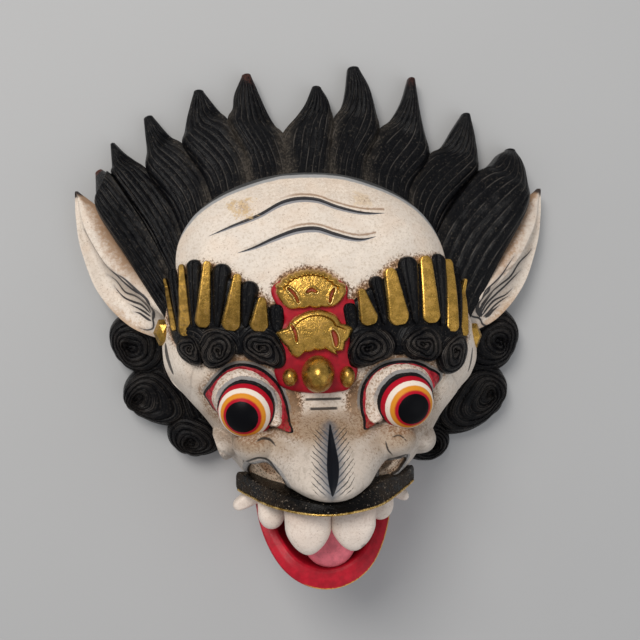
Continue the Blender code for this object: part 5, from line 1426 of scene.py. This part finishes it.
def tooth_paint(colours):
    """The teeth: cream, browner at the gum, with fine brown speckle and a chip in one of them."""
    coat = Coat("teeth")
    at, fine = coat.mark("along"), coat.noise(1.2, 5, 0.75)
    skin = coat.layers(
        aged_white(coat, colours),
        (coat.ramp(at, 0.45, 0.85) * 0.6, tone(colours.grime, 1.2)),
        (coat.ramp(fine + at * 0.08, 0.56, 0.7) * 0.5, tone(colours.grime, 1.0)),
        (coat.ramp(coat.away(TOOTH_CHIP) + (fine - 0.5) * 2.5, 2.6, 1.6), (0.05, 0.03, 0.025)),
        (0.35, tone(colours.white, 1.04, (0.03, 0.0, 0.04))))
    coat.bump(fine * 0.6 + coat.noise(5.0, 3, 0.5), 0.35, 0.35)
    return coat.finish(skin, (fine - 0.5) * 0.2 + 0.36, Specular_IOR_Level=0.3)


def lip_paint(colours):
    """The upper lip: brownish black, glossy in its middle and dusty at its ends, with light
    specks."""
    coat = Coat("lip_black")
    fine = coat.noise(1.6, 5, 0.7, stretch=(0.35, 1.0, 1.0))
    cloud, specks = coat.noise(9.0, 3, 0.6), coat.noise(1.1, 2, 0.5)
    ends = coat.ramp(abs(coat.x) + (cloud - 0.5) * 12, 12.0, 32.0)
    dusty = coat.ramp(cloud + (fine - 0.5) * 0.9 + ends * 0.06, 0.42, 0.6) * (ends * 0.9 + 0.1)
    body = coat.layers(
        (0.0016, 0.0014, 0.0014),
        (dusty, tone(colours.dust, 0.5, (0.004, 0.0, -0.002))),
        (coat.ramp(specks + dusty * 0.04, 0.66, 0.72) * 0.8, (0.26, 0.21, 0.16)))
    coat.bump(fine, 0.7, 0.6)
    return coat.finish(body, dusty * 0.3 + (fine - 0.5) * 0.3 + 0.24, Specular_IOR_Level=0.11)


def floor_paint(colours):
    """The floor: plain and pale, with the faintest unevenness."""
    coat = Coat("floor")
    body = coat.mix(coat.ramp(coat.noise(180.0, 3, 0.5), 0.3, 0.7), tone(colours.floor, 0.985), colours.floor)
    return coat.finish(body, 0.9, Specular_IOR_Level=0.1)


# ---------------------------------------------------------------- operators


class MASK_OT_face(bpy.types.Operator):
    """Carves and paints the face, its wall, its flat back and the hollow"""

    bl_idname = "mask.face"
    bl_label = "Face"

    def execute(self, context):
        made = piece("face", [face_skin(context.scene.mask_sizes)], face_paint(context.scene.mask_colours))
        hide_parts("mask")
        return {"FINISHED"}


class MASK_OT_hair(bpy.types.Operator):
    """Carves the ten locks over the head and the curls beside the face"""

    bl_idname = "mask.hair"
    bl_label = "Hair"

    def execute(self, context):
        sizes, colours = context.scene.mask_sizes, context.scene.mask_colours
        black = hair_paint(colours)
        piece("hair_locks", [lock_skin(number, sizes.groove) for number in range(len(LOCK_SIDES))], black, 50)
        beds = [bed_skin(top, foot, 20, 14) for top, foot in SIDE_HAIR]
        curls = [curl_skin(*curl, 17.5, sizes.curl_groove * 1.1, 6, level=0.0) for curl in SIDE_CURLS]
        duller = hair_paint(colours, "curl_black", gloss=0.27, dusty=0.55, light=1.2, ridge_highlight=0.5)
        piece("side_curls", curls + beds, duller, 50)
        return {"FINISHED"}


class MASK_OT_ears(bpy.types.Operator):
    """Carves and paints the two ears"""

    bl_idname = "mask.ears"
    bl_label = "Ears"

    def execute(self, context):
        piece("ears", [ear_skin(-1), ear_skin(1)], ear_paint(context.scene.mask_colours), 60)
        return {"FINISHED"}


class MASK_OT_brows(bpy.types.Operator):
    """Carves the brows: black ground, gold and black plumes, and the curls below them"""

    bl_idname = "mask.brows"
    bl_label = "Brows"

    def execute(self, context):
        sizes, colours = context.scene.mask_sizes, context.scene.mask_colours
        black = hair_paint(colours, "brow_black", gloss=0.25, dusty=0.7, light=1.7)
        eyes = [curl[1] for curl in BROW_CURLS]
        piece("brow_grounds", [ground_skin(*ground, 2.5, eyes) for ground in BROW_GROUNDS], black)
        gilded = [plume_skin(*plume, 5.2, 10) for plume in GOLD_PLUMES]
        piece("gold_plumes", gilded, gold_leaf(colours, "gold_plume_leaf", 1.0, 0.5, 1.0), 40)
        blackened = [plume_skin(*plume, 4.8, 3.5, 0.6, hair=True) for plume in BLACK_PLUMES]
        piece("black_plumes", blackened, black, 50)
        curls = [curl_skin(*curl, 7.8, sizes.curl_groove, 4) for curl in BROW_CURLS]
        ridge_highlight = hair_paint(colours, "brow_curl_black", gloss=0.22, dusty=0.7, light=1.7, ridge_highlight=1.0)
        piece("brow_curls", curls, ridge_highlight, 50)
        return {"FINISHED"}


class MASK_OT_ornament(bpy.types.Operator):
    """Carves the gilded fans, bosses and ear studs and the red ground between the brows"""

    bl_idname = "mask.ornament"
    bl_label = "Ornament"

    def execute(self, context):
        colours = context.scene.mask_colours
        grounds = [ground_skin(ORNAMENT_GROUND, ORNAMENT_CENTRE, 3.4)]
        piece("ornament_ground", grounds, red_paint(colours, "ornament_red", tone(colours.red, 0.8)))
        gold = gold_leaf(colours, "gold_fan_leaf", 1.25, 1.1)
        fans = [fan_skin(UPPER_FAN, (-7.2, 8.5), 7.0, 13), fan_skin(LOWER_FAN, (-5.4, -13.0), 8.0, 0)]
        piece("gold_fans", fans, gold, 50)
        eggs = [egg_skin((*place, float(skin_height(*np.array(place))) + 3), radii)
                for place, radii in BOSSES]
        eggs += [egg_skin(centre, radii, 6, 6) for centre, radii in EAR_STUDS]
        piece("gold_bosses", eggs, gold_leaf(colours, "gold_boss_leaf", 1.15, 0.4), 25)
        return {"FINISHED"}


class MASK_OT_eyes(bpy.types.Operator):
    """Sets in the eyeballs with their painted rings, and the banded lids round them"""

    bl_idname = "mask.eyes"
    bl_label = "Eyes"

    def execute(self, context):
        colours = context.scene.mask_colours
        piece("eyeballs", [eye_skin(*eye) for eye in EYES], eye_paint(colours))
        piece("eyelids", [lid_skin(0), lid_skin(1)], lid_paint(colours))
        return {"FINISHED"}


class MASK_OT_mouth(bpy.types.Operator):
    """Carves the lip and its bead, the teeth, the lower jaw and the tongue"""

    bl_idname = "mask.mouth"
    bl_label = "Mouth"

    def execute(self, context):
        sizes, colours = context.scene.mask_sizes, context.scene.mask_colours
        band, lower_line = lip_skin()
        piece("upper_lip", [band], lip_paint(colours))
        bead = tube_skin(lower_line[3:-3] + (0, 0.1, 0.1), sizes.bead)
        piece("lip_bead", [bead], gold_leaf(colours, "gold_bead_leaf", 1.1, 1.0))
        piece("teeth", [tooth_skin(*tooth) for tooth in TEETH], tooth_paint(colours))
        piece("lower_jaw", [jaw_skin()], red_paint(colours, "jaw_red", tuple(colours.red), gold_edge=True))
        tongue = tooth_skin((2, -106, 68), (2.2, -144.6, 78), 32, 31, 9, 2.2, 2.3)
        # the tongue's pink lifted 1.45 times: painted light where the mouth shades it
        piece("tongue", [tongue], red_paint(colours, "tongue_pink", tone(colours.pink, 1.45)))
        return {"FINISHED"}


# The stage, in metres. Each light has its name, place, energy, size and tint.
FLOOR_HALF, FLOOR_LEVEL = 3.0, -0.0006
LIGHTS = [
    ("key", (-0.6, 0.95, 1.4), 22, 0.8, (1, 0.97, 0.93)),
    ("fill", (1.2, -0.6, 1.3), 5, 1.6, (0.93, 0.96, 1))]
LIGHTS_AIM = (0, 0, 0.05)
ROOM_TINT, ROOM_STRENGTH = (0.95, 0.97, 1.0, 1), 0.45
CAMERA_PLACE, CAMERA_AIM = (-0.04105, 0.0283, 0.511), (0.00395, -0.0077, 0.0)
CAMERA_UP = (0.01396, 0.9999, 0)
CAMERA_LENS, CAMERA_WIDTH = 45.0, 36.0  # in millimetres


def lamp(name, place, energy, size, tint):
    """A soft square light at this place, turned towards the mask."""
    data = bpy.data.lights.new(name, "AREA")
    data.energy, data.size, data.color = energy, size, tint
    made = bpy.data.objects.new(name, data)
    made.location = place
    made.rotation_euler = (Vector(LIGHTS_AIM) - Vector(place)).to_track_quat("-Z", "Y").to_euler()
    bpy.context.scene.collection.objects.link(made)


class MASK_OT_stage(bpy.types.Operator):
    """Lays the pale floor, hangs the soft lights and sets the camera"""

    bl_idname = "mask.stage"
    bl_label = "Stage"

    def execute(self, context):
        scene, colours = context.scene, context.scene.mask_colours
        steps = np.linspace(-FLOOR_HALF, FLOOR_HALF, 25)
        across, up = np.meshgrid(steps, steps)
        points = np.dstack([across, up, np.full(across.shape, FLOOR_LEVEL)]).reshape(-1, 3)
        index = np.arange(len(points)).reshape(across.shape)
        quads = np.stack([index[:-1, :-1], index[:-1, 1:], index[1:, 1:], index[1:, :-1]], axis=-1)
        mesh = bpy.data.meshes.new("floor")
        mesh.from_pydata(points.tolist(), [], quads.reshape(-1, 4).tolist())
        mesh.materials.append(floor_paint(colours))
        floor = bpy.data.objects.new("floor", mesh)
        scene.collection.objects.link(floor)
        for light in LIGHTS:
            lamp(*light)
        world = bpy.data.worlds.new("room light")
        world.use_nodes = True
        background = world.node_tree.nodes["Background"]
        background.inputs[0].default_value = ROOM_TINT
        background.inputs[1].default_value = ROOM_STRENGTH
        scene.world = world
        data = bpy.data.cameras.new("camera")
        data.lens, data.sensor_width = CAMERA_LENS, CAMERA_WIDTH
        camera = bpy.data.objects.new("camera", data)
        place = Vector(CAMERA_PLACE)
        back = (place - Vector(CAMERA_AIM)).normalized()
        right = Vector(CAMERA_UP).cross(back).normalized()
        turned = Matrix((right, back.cross(right), back)).transposed()
        camera.matrix_world = Matrix.Translation(place) @ turned.to_4x4()
        scene.collection.objects.link(camera)
        scene.camera = camera
        scene.view_settings.view_transform = "Standard"
        return {"FINISHED"}


PARTS = (MASK_OT_face, MASK_OT_hair, MASK_OT_ears, MASK_OT_brows, MASK_OT_ornament, MASK_OT_eyes,
         MASK_OT_mouth, MASK_OT_stage)


class MASK_PT_panel(bpy.types.Panel):
    """Lists the pieces of the mask with their sizes and colours"""

    bl_label = "Mask"
    bl_idname = "MASK_PT_panel"
    bl_space_type = "VIEW_3D"
    bl_region_type = "UI"
    bl_category = "Mask"

    def draw(self, context):
        for part in PARTS:
            self.layout.operator(part.bl_idname)
        for group in (context.scene.mask_sizes, context.scene.mask_colours):
            for name in group.__annotations__:
                self.layout.prop(group, name)


CLASSES = (MaskSizes, MaskColours, *PARTS, MASK_PT_panel)


def register():
    for kind in CLASSES:
        bpy.utils.register_class(kind)
    bpy.types.Scene.mask_sizes = bpy.props.PointerProperty(type=MaskSizes)
    bpy.types.Scene.mask_colours = bpy.props.PointerProperty(type=MaskColours)


def unregister():
    del bpy.types.Scene.mask_colours
    del bpy.types.Scene.mask_sizes
    for kind in reversed(CLASSES):
        bpy.utils.unregister_class(kind)


def main():
    """Builds every part of the mask and its stage."""
    register()
    for part in PARTS:
        section, name = part.bl_idname.split(".")
        getattr(getattr(bpy.ops, section), name)()


if __name__ == "__main__":
    main()
